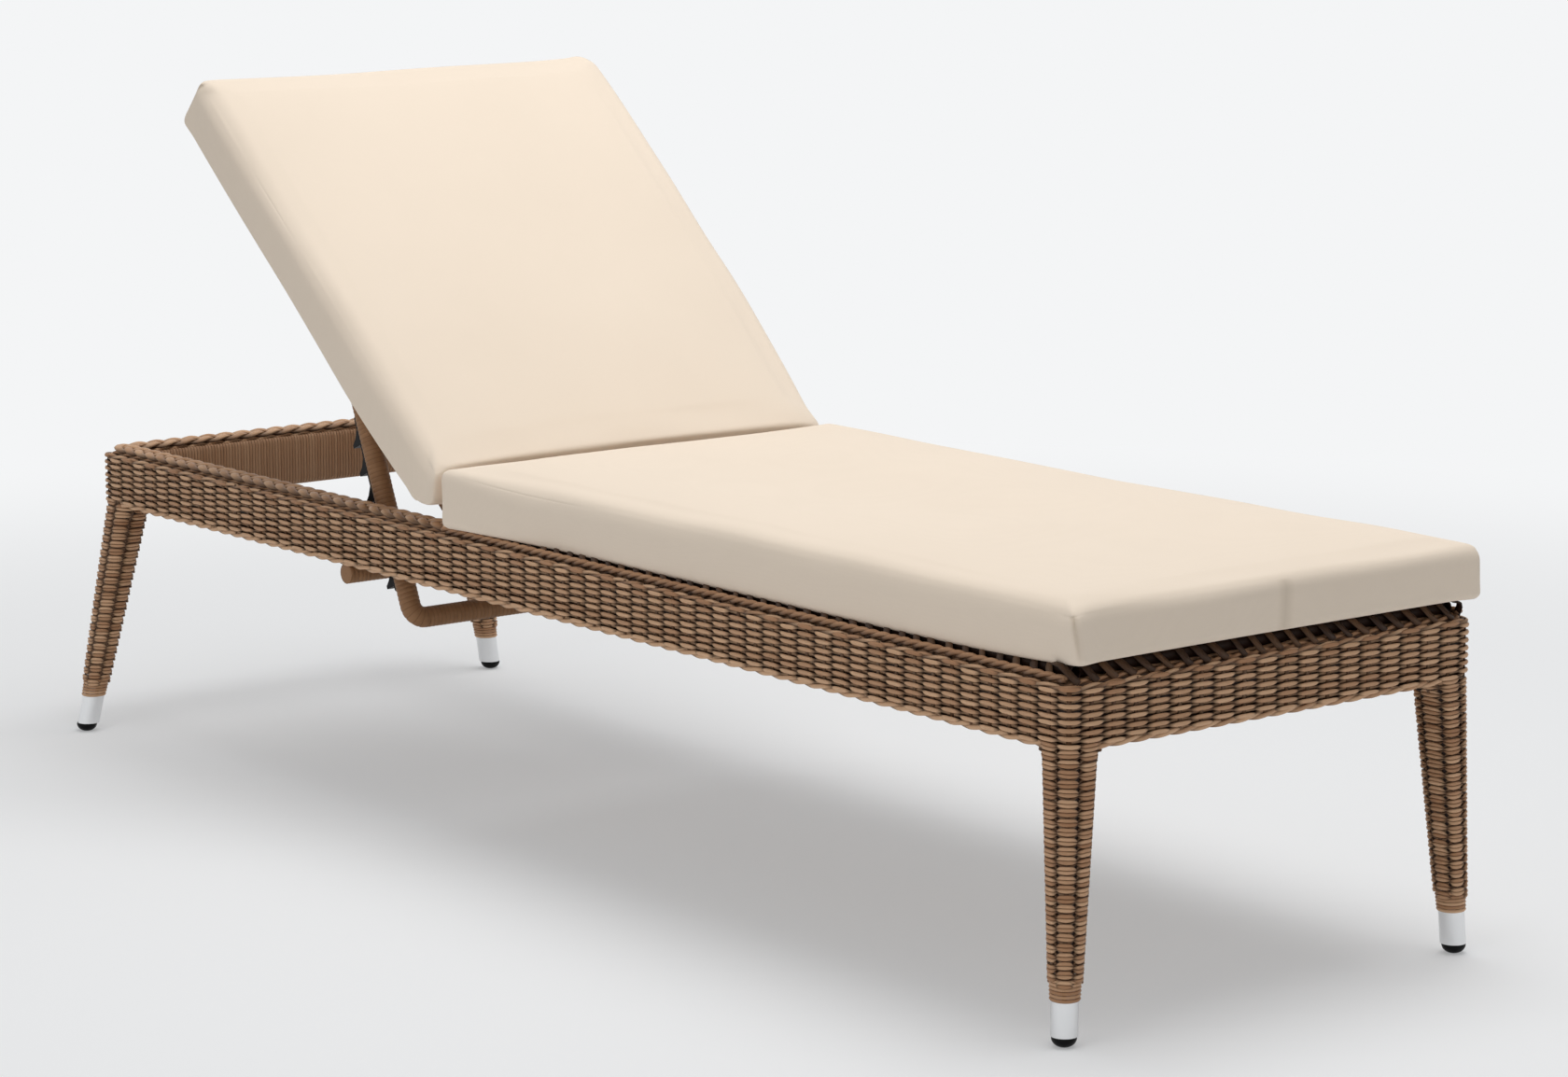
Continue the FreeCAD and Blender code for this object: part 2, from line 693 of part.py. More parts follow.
def hinge_bush(name, side):
    """Nylon bush through a side tube, with a flange on each face."""
    body = new_body(f"hinge_bush_{name}")
    centre = f"{side} * {BACK_Y}"
    barrel = new_sketch(body, "XZ_Plane", f"-({centre})")
    circle(barrel, "0", "0", "bush_diameter / 2")
    pad(body, barrel, "back_tube_diameter + 2 * fit_gap", symmetric=True)
    for face in (-1, 1):
        start = f"{centre} + {face} * (back_tube_diameter / 2 + fit_gap)"
        flange = new_sketch(body, "XZ_Plane", f"-({start})")
        circle(flange, "0", "0", "bush_flange_diameter / 2")
        pad(body, flange, "bush_flange_thickness", reverse=face > 0)
    bore = new_sketch(body, "XZ_Plane", f"-({centre})")
    circle(bore, "0", "0", "hinge_pin_diameter / 2 + running_gap")
    pocket(body, bore, "2 * back_tube_diameter", symmetric=True)
    place_on_hinge(body)
    return body


def back_side_tube(name, side):
    """Long tube of the backrest, drilled for the hinge bush at its lower end."""
    body = tube_along_x(f"back_side_tube_{name}", "-back_frame_length", "back_tube_tail",
                        f"{side} * {BACK_Y}", "0", "back_tube_diameter", "back_tube_wall")
    hole = new_sketch(body, "XZ_Plane", f"-({side} * {BACK_Y})")
    circle(hole, "0", "0", "bush_diameter / 2 + fit_gap")
    pocket(body, hole, "back_tube_diameter", symmetric=True)
    place_on_hinge(body)
    return body


def back_cross_tubes():
    """Tubes between the backrest's side tubes."""
    between = f"2 * {BACK_Y} - back_tube_diameter - 2 * fit_gap"
    places = {
        "low": "-back_low_tube",
        "mid": "-back_mid_tube",
        "top": "-(back_frame_length - back_tube_diameter / 2)",
    }
    for name, x in places.items():
        body = tube_along_y(
            f"back_cross_tube_{name}", x, "0", between, "back_tube_diameter", "back_tube_wall")
        place_on_hinge(body)


def back_deck():
    deck = net(
        "back_deck",
        value("-back_frame_length"),
        value("back_tube_diameter / 2 - back_low_tube"),
        value(f"2 * {BACK_Y} + back_tube_diameter"),
        value(BACK_DECK_BOTTOM),
        value("back_deck_thickness"),
        int(value("back_deck_gaps_along")),
        int(value("deck_gaps_across")))
    place_on_hinge(deck)


def back_cushion():
    start = value("-back_frame_length - back_cushion_overhang")
    item = cushion("back_cushion", start, value("-back_cushion_start"), value(BACK_CUSHION_BOTTOM),
                   value("back_cushion_thickness"), value("back_cushion_heel"))
    place_on_hinge(item)


def prop_clevis(name, side):
    """Two cheeks under a side tube that hold the prop's pivot pin."""
    body = new_body(f"prop_clevis_{name}")
    half = "clevis_width / 2"
    sketch = new_sketch(body, "XZ_Plane", f"-({side} * {BACK_Y})")
    rounded_rectangle(
        sketch, f"-prop_pivot_along - {half}", f"-prop_pivot_along + {half}",
        f"-prop_pivot_drop - {half}", "clevis_rise", "plate_corner")
    circle(sketch, "-prop_pivot_along", "-prop_pivot_drop", "pivot_pin_diameter / 2")
    pad(body, sketch, f"2 * {CLEVIS_OUTER}", symmetric=True)
    slot = new_sketch(body, "XZ_Plane", f"-({side} * {BACK_Y})")
    polygon(slot, [
        ("-prop_pivot_along - clevis_width", "-prop_pivot_drop - clevis_width"),
        ("-prop_pivot_along + clevis_width", "-prop_pivot_drop - clevis_width"),
        ("-prop_pivot_along + clevis_width", "clevis_rise + clevis_width"),
        ("-prop_pivot_along - clevis_width", "clevis_rise + clevis_width"),
    ])
    pocket(body, slot, f"2 * {CLEVIS_INNER}", symmetric=True)
    place_on_hinge(body)
    return body


def prop_pivot_pin(name, side):
    """Headed pin through both cheeks of a clevis and the prop arm."""
    body = turned_pin(f"prop_pivot_pin_{name}", [
        (f"{side} * {BACK_Y} - {CLEVIS_OUTER}", f"2 * {CLEVIS_OUTER}", "pivot_pin_diameter"),
        (f"{side} * {BACK_Y} - {CLEVIS_OUTER} - pivot_head_height",
         "pivot_head_height", "pivot_head_diameter"),
        (f"{side} * {BACK_Y} + {CLEVIS_OUTER}", "pivot_head_height", "pivot_head_diameter"),
    ])
    place_on_pivot(body)
    return body


def prop_arm(name, side):
    """Wrapped tube from the pivot down to a bend towards the crossbar."""
    body = new_body(f"prop_arm_{name}")
    y = f"{side} * {BACK_Y}"
    route = new_sketch(body, "YZ_Plane")
    start = Vector(value(y), value("prop_end_past_pivot"))
    corner = Vector(value(y), value("prop_bend - prop_length"))
    finish = Vector(value(f"{side} * ({BACK_Y} - prop_bend)"), value("-prop_length"))
    line = route.addGeometry(Part.LineSegment(start, corner))
    centre = Vector(finish.x, corner.y)
    first, last = (math.pi, 1.5 * math.pi) if side < 0 else (1.5 * math.pi, 2 * math.pi)
    ring = Part.Circle(centre, Vector(0, 0, 1), value("prop_bend"))
    arc = route.addGeometry(Part.ArcOfCircle(ring, first, last))
    near_end, far_end = (1, 2) if side < 0 else (2, 1)
    route.addConstraint(Sketcher.Constraint("Tangent", line, 2, arc, near_end))
    route.addConstraint(Sketcher.Constraint("Vertical", line))
    fix_point(route, line, 1, y, "prop_end_past_pivot")
    fix(route, "Radius", arc, size="prop_bend")
    fix_point(route, arc, far_end, f"{side} * ({BACK_Y} - prop_bend)", "-prop_length")
    section = new_sketch(body, "XY_Plane", "prop_end_past_pivot")
    circle(section, "0", y, "prop_diameter / 2")
    circle(section, "0", y, "prop_diameter / 2 - prop_wall")
    sweep = body.newObject("PartDesign::AdditivePipe", "wrapped_tube")
    sweep.Profile = section
    sweep.Spine = (route, [])
    hole = new_sketch(body, "XZ_Plane", f"-({y})")
    circle(hole, "0", "0", "pivot_pin_diameter / 2 + running_gap")
    pocket(body, hole, "2 * prop_diameter", symmetric=True)
    place_on_pivot(body)
    return body


def prop_crossbar():
    body = tube_along_y("prop_crossbar", "0", "-prop_length", f"2 * ({BACK_Y} - prop_bend)",
                        "prop_diameter", "prop_wall")
    place_on_pivot(body)


def prop_rack(name, side):
    """Toothed strip seated along the head side of a prop arm."""
    body = new_body(f"prop_rack_{name}")
    y = f"-({side} * {BACK_Y})"
    strip = new_sketch(body, "XZ_Plane", y)
    rounded_rectangle(strip, "-rack_back", "-rack_seat", "-rack_end", "-rack_start", "rack_corner")
    pad(body, strip, "rack_width", symmetric=True)
    tooth = new_sketch(body, "XZ_Plane", y)
    root = "tooth_root - rack_back"
    waist = "-rack_back - tooth_waist_depth"
    polygon(tooth, [
        (root, "-first_tooth"),
        ("-rack_tip", "-first_tooth"),
        ("-rack_tip", "tooth_nose - first_tooth"),
        (waist, "tooth_waist_length - first_tooth"),
        (root, "tooth_length - first_tooth"),
    ])
    fin = pad(body, tooth, "rack_width", symmetric=True)
    row = body.newObject("PartDesign::LinearPattern", "teeth")
    row.Originals = [fin]
    row.Direction = (strip, ["V_Axis"])
    row.Reversed = True
    bind(row, Length="tooth_pitch * (rack_teeth - 1)", Occurrences="rack_teeth")
    body.Tip = row
    seat = new_sketch(body, "XY_Plane")
    circle(seat, "0", f"{side} * {BACK_Y}", "prop_diameter / 2 + fit_gap")
    pocket(body, seat, "rack_end + rack_start")
    place_on_pivot(body)
    return body


for side_name, side_sign in SIDES.items():
    side_rail_weave(side_name, side_sign)
    rail_tube(side_name, "YZ_Plane", HALF_WIDTH, RAIL_INNER_Y, side_sign,
              "frame_length - 2 * (side_tube_end_inset + fit_gap)")
for end_name, end_sign in ENDS.items():
    end_rail_weave(end_name, end_sign)
    rail_tube(end_name, "XZ_Plane", HALF_LENGTH, f"({HALF_LENGTH} - rail_thickness)", end_sign,
              f"2 * {TUBE_INNER_Y}")
    for side_name, side_sign in SIDES.items():
        corner_name = f"{end_name}_{side_name}"
        leg_weave(corner_name, end_sign, side_sign)
        leg_tube(corner_name, end_sign, side_sign)
        glide(corner_name, end_sign, side_sign)
seat_frame()
seat_deck()
seat_cushion()
catch_bar()
back_cross_tubes()
back_deck()
back_cushion()
prop_crossbar()
for side_name, side_sign in SIDES.items():
    hinge_bracket(side_name, side_sign)
    hinge_pin(side_name, side_sign)
    hinge_bush(side_name, side_sign)
    back_side_tube(side_name, side_sign)
    prop_clevis(side_name, side_sign)
    prop_pivot_pin(side_name, side_sign)
    prop_arm(side_name, side_sign)
    prop_rack(side_name, side_sign)
doc.recompute()

for item in doc.Objects:
    if "Invalid" in item.State or "Error" in item.State:
        raise RuntimeError(f"{item.Label} failed: {item.State}")
for piece in pieces:
    if piece.Shape.isNull() or not piece.Shape.isValid():
        raise RuntimeError(f"{piece.Label} has no valid shape")

os.makedirs("parts", exist_ok=True)
for piece in pieces:
    piece.Shape.exportStep(f"parts/{piece.Label}.step")
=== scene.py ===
import json
import math

import bpy
import numpy as np
from bpy.props import FloatProperty, FloatVectorProperty, IntProperty, PointerProperty
from mathutils import Matrix, Vector


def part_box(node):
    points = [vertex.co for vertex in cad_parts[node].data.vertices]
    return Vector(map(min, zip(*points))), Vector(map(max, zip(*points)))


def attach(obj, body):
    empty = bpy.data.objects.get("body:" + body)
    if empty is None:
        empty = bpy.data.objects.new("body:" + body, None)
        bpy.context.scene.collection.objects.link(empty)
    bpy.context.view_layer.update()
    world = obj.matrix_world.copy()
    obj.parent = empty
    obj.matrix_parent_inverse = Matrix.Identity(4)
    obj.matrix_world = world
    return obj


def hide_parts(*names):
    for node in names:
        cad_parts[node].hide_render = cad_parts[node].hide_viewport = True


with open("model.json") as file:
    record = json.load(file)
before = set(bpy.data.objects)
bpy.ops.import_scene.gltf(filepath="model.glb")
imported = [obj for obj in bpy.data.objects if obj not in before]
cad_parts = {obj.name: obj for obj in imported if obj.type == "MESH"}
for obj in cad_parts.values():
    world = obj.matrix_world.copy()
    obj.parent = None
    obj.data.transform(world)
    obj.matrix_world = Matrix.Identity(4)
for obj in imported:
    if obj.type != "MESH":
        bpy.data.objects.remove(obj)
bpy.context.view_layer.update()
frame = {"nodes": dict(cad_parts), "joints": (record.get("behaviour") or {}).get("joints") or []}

bl_info = {
    "name": "Woven sun lounger",
    "version": (1, 0, 0),
    "blender": (4, 5, 0),
    "location": "View3D > Sidebar > Lounger",
    "description": "Strands, wound tubes, cushions and finishes of a woven sun lounger",
    "category": "Object",
}

RAILS = ("near", "far", "foot", "head")
CORNERS = ("foot_near", "foot_far", "head_near", "head_far")
SIDES = ("near", "far")

HALF_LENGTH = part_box("rail_weave_foot")[1].x
HALF_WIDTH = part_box("rail_weave_far")[1].y
RAIL_BASE, RAIL_TOP = (corner.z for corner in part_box("rail_weave_near"))
RAIL_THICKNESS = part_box("rail_weave_near")[1].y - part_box("rail_weave_near")[0].y
RAIL_SAMPLES = 8  # points of a woven row from one stake to the next
JOINTS = {joint["name"]: joint for joint in frame["joints"]}
HINGE = Vector(JOINTS["recline"]["pos_m"])
PIVOT = Vector(JOINTS["prop_swing"]["pos_m"])
REST_TILT = math.radians(-JOINTS["recline"]["range_deg"][0])
UP = (0.0, 0.0, 1.0)
TINY = 1e-9


def linear(red, green, blue):
    """A colour named in eight-bit screen values, as the shaders take it."""
    return tuple(((part / 255 + 0.055) / 1.055) ** 2.4 for part in (red, green, blue))


def length_of(name, words, metres):
    return FloatProperty(
        name=name, description=words, default=metres, min=0.0, precision=5, unit="LENGTH")


def lengths_of(name, words, *metres):
    return FloatVectorProperty(
        name=name, description=words, default=metres, size=len(metres), min=0.0, precision=5, unit="LENGTH")


def count_of(name, words, count, least):
    return IntProperty(name=name, description=words, default=count, min=least)


def colour_of(name, words, *screen):
    return FloatVectorProperty(
        name=name, description=words, default=linear(*screen), min=0.0, max=1.0, subtype="COLOR")


class LoungerSizes(bpy.types.PropertyGroup):
    """Sizes of the strands, windings and cushions."""

    strand_width: length_of("Strand width", "Height of a woven strand across its row", 0.0054)
    strand_depth: length_of("Strand depth", "Thickness of a woven strand, out of the weave", 0.0042)
    row_pitch: length_of("Row pitch", "Height from one woven row to the next", 0.0043)
    weave_lift: length_of("Weave lift", "How far a strand rises over a stake and sinks behind it", 0.0024)
    leg_strand_width: length_of("Leg strand width", "Height of each of a leg row's two strands", 0.0046)
    leg_row_pitch: length_of("Leg row pitch", "Height from one woven row to the next on a leg", 0.0050)
    long_stakes: count_of("Stakes along", "Stakes along a long rail", 64, 8)
    short_stakes: count_of("Stakes across", "Stakes along a short rail", 19, 4)
    leg_stakes: count_of("Leg stakes", "Stakes round a leg", 6, 4)
    lining_pitch: length_of("Lining pitch", "Spacing of the strands wound over the inside of a rail", 0.0047)
    wound_pitch: length_of("Wound pitch", "Width of the flat strand wound round a tube", 0.0060)
    leg_top: length_of("Leg top", "Width of a leg where it meets the rail", 0.048)
    leg_end: length_of("Leg end", "Width of a leg where its weave ends", 0.033)
    leg_top_bend: length_of("Leg top corner", "Corner radius of a leg at the rail", 0.013)
    leg_end_bend: length_of("Leg end corner", "Corner radius of a leg where its weave ends", 0.0155)
    frame_bend: length_of("Frame corner", "Corner radius of the frame in plan", 0.011)
    seat_bends: lengths_of(
        "Seat corners", "Seat cushion's corner radii in plan: head near, head far, foot near, foot far",
        0.008, 0.010, 0.012, 0.016)
    back_bends: lengths_of(
        "Back corners", "Back cushion's corner radii in plan: top near, top far, lower near, lower far",
        0.020, 0.034, 0.010, 0.010)
    seat_edges: lengths_of(
        "Seat edges", "Radii of the seat cushion's top edges: near, far, head end, foot end",
        0.028, 0.013, 0.009, 0.015)
    back_edges: lengths_of(
        "Back edges", "Radii of the back cushion's top edges: near, far, top end, lower end",
        0.026, 0.014, 0.012, 0.006)
    back_spread: length_of("Back spread", "How much wider each side of the back cushion is at its top", 0.014)
    back_fullness: lengths_of(
        "Back fullness", "How far the back cushion's near and far side bow out", 0.0085, 0.0105)
    back_fall: length_of("Back fall", "How far the back cushion's front falls off towards the seat", 0.0090)
    back_press: length_of("Back press", "How far the back cushion's front presses over the seat", 0.012)
    back_droop: length_of("Back droop", "How far the back cushion's side edges hang above its heel", 0.005)
    back_skew: length_of("Back skew", "How much longer the back cushion is at its far side", 0.011)
    seat_crown: length_of("Seat crown", "Rise of the seat cushion's top inside its edges", 0.009)
    back_crown: length_of("Back crown", "Rise of the back cushion's top inside its edges", 0.006)
    base_edge: length_of("Base edge", "Radius of a cushion's lower edges", 0.008)
    base_tuck: length_of("Base tuck", "How far the near side of the seat cushion leans in at its base", 0.013)
    seat_droop: length_of("Seat droop", "How far the seat cushion's edge hangs along its sides", 0.013)
    braid_width: length_of("Braid width", "Width of the braid on the rails round the head end", 0.034)
    braid_rise: length_of("Braid rise", "Height of the braid over the rail", 0.0085)
    leg_flare: length_of("Leg flare", "How far a leg spreads into the rail", 0.008)
    cushion_swell: length_of("Cushion swell", "Largest movement of the cover when it is filled", 0.008)
    back_length: length_of("Back length", "Length of the backrest's side tubes above the hinge", 0.712)
    back_tail: length_of("Back tail", "Length of the backrest's side tubes below the hinge", 0.017)
    back_deck_start: length_of("Back deck start", "Distance of the back deck from the hinge", 0.0485)
    back_deck_height: length_of("Back deck height", "Height of the back deck's middle over the hinge", 0.0155)
    back_cushion_start: length_of("Back cushion start", "Distance of the back cushion from the hinge", 0.028)
    back_cushion_length: length_of("Back cushion length", "Length of the back cushion", 0.697)
    back_cushion_thickness: length_of("Back cushion thickness", "Thickness of the back cushion", 0.076)
    back_cushion_height: length_of("Back cushion height", "Back cushion's base over the hinge", 0.018)
    prop_bend: length_of("Prop bend", "Radius of the bend at the lower end of a prop arm", 0.018)
    prop_past_pivot: length_of("Prop end", "Length of a prop arm beyond its pivot", 0.009)
    strap_width: length_of("Strap width", "Width of a deck strap", 0.022)
    seat_straps: count_of("Seat straps", "Straps across the seat", 15, 2)
    back_straps: count_of("Back straps", "Straps across the backrest", 10, 2)
    straps_along: count_of("Straps along", "Straps along the decks", 9, 2)
    tie_width: length_of("Tie width", "Width of a strand that ties the seat edge to the rail", 0.0115)
    tie_spacing: length_of("Tie spacing", "Spacing of the ties along the rail", 0.0270)
    tie_slant: length_of("Tie slant", "How far a tie slants along the rail", 0.0140)
    glide_round: length_of("Glide round", "How far a glide's dome draws in at the floor", 0.0122)
    glide_height: length_of("Glide height", "Height of a glide below the tube", 0.012)
    sky_level: FloatProperty(
        name="Sky level", description="Brightness of the studio's sky", default=0.4, min=0.0)


class LoungerColours(bpy.types.PropertyGroup):
    """Colours of the finishes."""

    strand_pale: colour_of("Pale strand", "Lightest strands of the weave", 224, 184, 147)
    strand_deep: colour_of("Deep strand", "Darkest strands of the weave", 166, 121, 87)
    # Painted shade: the colour a strand takes where its lit mark says it lies in shadow deep in the weave
    strand_gap_shade: colour_of("Weave gap", "Strand where it lies deep in the weave", 34, 16, 8)
    wound_pale: colour_of("Pale winding", "Lightest turns of the wound tubes", 168, 127, 91)
    wound_deep: colour_of("Deep winding", "Darkest turns of the wound tubes", 140, 102, 70)
    cloth: colour_of("Cloth", "Cover of the cushions", 246, 230, 211)
    # Darker cloth for random patches, and painted shade in the seams and darts
    cloth_tone_and_seam_shade: colour_of("Cloth shade", "Cover of the cushions in its seams", 214, 197, 176)
    tube_coat: colour_of("Tube coat", "Coated tubes behind the weave", 34, 19, 11)
    bare_metal: colour_of("Bare metal", "Satin aluminium", 228, 229, 230)
    pin_metal: colour_of("Pin metal", "Turned steel pins", 176, 177, 178)
    black_plastic: colour_of("Black plastic", "Moulded racks, bushes and glides", 9, 9, 10)
    floor: colour_of("Floor", "Studio floor and backdrop", 244, 245, 246)


def sizes():
    return bpy.context.scene.lounger_sizes


def colours():
    return bpy.context.scene.lounger_colours


class Socket:
    """An output in a material's node tree; arithmetic on it adds Math nodes."""

    def __init__(self, tree, link=None):
        self.tree = tree
        self.link = link

    def node(self, kind, settings=None, inputs=None, output=0):
        """Adds a node: its settings first, then the values or links of its sockets."""
        made = self.tree.nodes.new(kind)
        for name, setting in (settings or {}).items():
            if name == "stops":
                ramp = made.color_ramp
                while len(ramp.elements) < len(setting):
                    ramp.elements.new(1.0)
                for element, (position, colour) in zip(ramp.elements, setting):
                    element.position = position
                    element.color = (*colour, 1.0)
            else:
                setattr(made, name, setting)
        for name, given in (inputs or {}).items():
            target = made.inputs[name]
            if isinstance(given, Socket):
                self.tree.links.new(given.link, target)
            elif target.type == "RGBA" and len(given) == 3:
                target.default_value = (*given, 1.0)
            else:
                target.default_value = given
        return Socket(self.tree, made.outputs[output] if made.outputs else None)

    def beside(self, name):
        """Another output of the same node."""
        return Socket(self.tree, self.link.node.outputs[name])

    def maths(self, operation, *terms):
        return self.node("ShaderNodeMath", {"operation": operation}, dict(enumerate(terms)))

    def __add__(self, other):
        return self.maths("ADD", self, other)

    def __radd__(self, other):
        return self.maths("ADD", other, self)

    def __sub__(self, other):
        return self.maths("SUBTRACT", self, other)

    def __rsub__(self, other):
        return self.maths("SUBTRACT", other, self)

    def __mul__(self, other):
        return self.maths("MULTIPLY", self, other)

    def __rmul__(self, other):
        return self.maths("MULTIPLY", other, self)

    def clamped(self):
        """The value held between nought and one."""
        return self.node("ShaderNodeClamp", None, {0: self})


def new_material(name):
    """An empty material and the root that its nodes grow from."""
    material = bpy.data.materials.new(name)
    material.use_nodes = True
    material.node_tree.nodes.clear()
    return material, Socket(material.node_tree)


def surface(root, inputs):
    """Ends a material in the standard surface shader."""
    shader = root.node("ShaderNodeBsdfPrincipled", None, inputs)
    root.node("ShaderNodeOutputMaterial", None, {"Surface": shader})


def mixed(root, factor, first, second):
    """Two colours, the second by the factor."""
    return root.node(
        "ShaderNodeMix", {"data_type": "RGBA"}, {"Factor": factor, 6: first, 7: second}, 2)


def noise(root, vector, scale, detail=2.0):
    return root.node("ShaderNodeTexNoise", None, {"Vector": vector, "Scale": scale, "Detail": detail})


def bump(root, strength, distance, height):
    return root.node("ShaderNodeBump", None, {"Strength": strength, "Distance": distance, "Height": height})


def object_place(root):
    """Coordinates that stay with the piece."""
    return root.node("ShaderNodeTexCoord", None, None, "Object")


def point_mark(root, name, output="Fac"):
    """What a mesh carries at its points under a name."""
    return root.node("ShaderNodeAttribute", {"attribute_name": name}, None, output)


def strand_material(name, pale, deep, gap, roughness):
    """Synthetic strand: streaks along its length, its own tone, and painted shade where it dives into the
    weave and on its underside.
    """
    material, root = new_material(name)
    lit = point_mark(root, "lit")
    along = root.node("ShaderNodeSeparateXYZ", None, {0: point_mark(root, "lay", "Vector")})
    around, tone = along.beside("Y"), along.beside("Z")
    streak_place = root.node(
        "ShaderNodeCombineXYZ", None, {0: along * 14.0, 1: around * 16.0, 2: tone * 37.0})
    streak = noise(root, streak_place, 1.0, 3.0)
    patch = noise(root, object_place(root), 9.0)
    light = tone * 0.75 + streak * 0.55 + patch * 0.35 - 0.34
    clean = mixed(root, light.clamped(), deep, pale)
    # Painted shade: the less lit the point, the more it takes the gap shade colour
    depth = (lit * 1.5 - 0.12).clamped()
    surface(root, {
        "Base Color": mixed(root, depth, gap, clean),
        "Roughness": streak * 0.2 + (roughness - 0.1),
        "Specular IOR Level": 0.22,
        "Normal": bump(root, 0.35, 0.0006, streak),
    })
    return material


def cloth_material(name, cloth, shade):
    """Plain outdoor cloth: fine over-and-under threads, random darker patches, and painted shade in the seams
    and darts.
    """
    material, root = new_material(name)
    place = object_place(root)
    threads = [
        root.node("ShaderNodeTexWave", {"wave_type": "BANDS", "bands_direction": direction},
                  {"Vector": place, "Scale": 420.0, "Distortion": 0.6, "Detail": 1.0}, 1)
        for direction in ("X", "Y", "Z")
    ]
    weave = (threads[0] + threads[1] + threads[2]) * 0.33
    fibre = noise(root, place, 900.0, 4.0)
    patch = noise(root, place, 5.0, 3.0)
    worn = patch * 0.35 + fibre * 0.3 + weave * 0.15
    body = mixed(root, worn * 0.45, cloth, shade)
    surface(root, {
        # Painted shade: the seam mark darkens the cloth where seams and darts sink the cover
        "Base Color": mixed(root, point_mark(root, "seam"), body, shade),
        "Roughness": fibre * 0.15 + 0.78,
        "Sheen Weight": 0.12,
        "Normal": bump(root, 0.12, 0.0004, weave * 0.6 + fibre * 0.5),
    })
    return material


def metal_material(name, colour, roughness, grain):
    """Metal with drawn or turned grain in its gloss."""
    material, root = new_material(name)
    place = object_place(root)
    stretched = root.node("ShaderNodeVectorMath", {"operation": "MULTIPLY"}, {0: place, 1: grain})
    fine = noise(root, stretched, 1.0, 3.0)
    smear = noise(root, place, 22.0)
    surface(root, {
        "Base Color": mixed(root, smear * 0.3, colour, [part * 0.86 for part in colour]),
        "Metallic": 1.0,
        "Roughness": fine * 0.16 + smear * 0.08 + (roughness - 0.12),
        "Normal": bump(root, 0.08, 0.0003, fine),
    })
    return material


def coat_material(name, colour, roughness, scale, gloss):
    """Moulded plastic or powder coat with a fine pebble."""
    material, root = new_material(name)
    place = object_place(root)
    pebble = noise(root, place, scale, 3.0)
    dust = noise(root, place, 18.0, 3.0)
    dusty = [part * 0.8 + 0.002 for part in colour]
    surface(root, {
        "Base Color": mixed(root, dust * 0.35, colour, dusty),
        "Roughness": pebble * 0.14 + dust * 0.12 + (roughness - 0.13),
        "Specular IOR Level": gloss,
        "Normal": bump(root, 0.15, 0.0003, pebble),
    })
    return material


def finish(name):
    """A named finish, made when it is first asked for from its maker, colours and roughness.

    Metal also has the scale of its grain, and a coat the scale of its pebble and its gloss.
    """
    found = bpy.data.materials.get(name)
    if found:
        return found
    tint = colours()
    maker, *settings = {
        # A strand finish's third colour is its painted gap shade; the cloth's second colour serves random
        # patches and painted seam shade
        "woven_strand": (strand_material, tint.strand_pale, tint.strand_deep, tint.strand_gap_shade, 0.46),
        "wound_strand": (strand_material, tint.wound_pale, tint.wound_deep, tint.strand_gap_shade, 0.5),
        "cream_cloth": (cloth_material, tint.cloth, tint.cloth_tone_and_seam_shade),
        "satin_aluminium": (metal_material, tint.bare_metal, 0.36, (900.0, 900.0, 40.0)),
        "turned_steel": (metal_material, tint.pin_metal, 0.3, (60.0, 1600.0, 60.0)),
        "tube_coat": (coat_material, tint.tube_coat, 0.55, 700.0, 0.1),
        "moulded_black": (coat_material, tint.black_plastic, 0.42, 1100.0, 0.12),
    }[name]
    return maker(name, *settings)


def mesh_piece(name, points, quads, material, body, nodes=(), marks=None):
    """A smooth mesh from arrays of points and quads, riding on a body and standing for CAD nodes."""
    mesh = bpy.data.meshes.new(name)
    mesh.vertices.add(len(points))
    mesh.vertices.foreach_set("co", np.asarray(points, np.float32).ravel())
    mesh.loops.add(quads.size)
    mesh.loops.foreach_set("vertex_index", np.asarray(quads, np.int32).ravel())
    mesh.polygons.add(len(quads))
    mesh.polygons.foreach_set("loop_start", np.arange(0, quads.size, 4, dtype=np.int32))
    for mark, values in (marks or {}).items():
        vector = values.ndim == 2
        attribute = mesh.attributes.new(mark, "FLOAT_VECTOR" if vector else "FLOAT", "POINT")
        attribute.data.foreach_set("vector" if vector else "value", values.astype(np.float32).ravel())
    mesh.update(calc_edges=True)
    if mesh.validate():
        raise RuntimeError(f"{name} has bad faces")
    mesh.shade_smooth()
    mesh.materials.append(finish(material))
    piece = bpy.data.objects.new(name, mesh)
    bpy.context.scene.collection.objects.link(piece)
    if nodes:
        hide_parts(*nodes)
    if body:
        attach(piece, body)
    return piece


def unit(vectors):
    """Vectors of the same directions and a length of one."""
    return vectors / np.linalg.norm(vectors, axis=-1, keepdims=True)


def clamped(values):
    """Values held between nought and one."""
    return np.clip(values, 0.0, 1.0)


def run_along(points):
    """Distance of each point from the first, along the line through them."""
    return np.concatenate([[0.0], np.cumsum(np.linalg.norm(np.diff(points, axis=0), axis=1))])


def swing(least, angle):
    """A value that swings between its least and one with the sine of an angle."""
    return least + (1 - least) * (1 + np.sin(angle)) / 2


def at_height(plan, height):
    """Points or ways in plan, all with the same height or with one each."""
    return np.column_stack([plan, np.broadcast_to(height, len(plan))])


def joined_quads(first, second, beside_first, beside_second):
    """Quads between two rows of point numbers, each given with the number of its next point."""
    return np.column_stack([first, beside_first, beside_second, second])


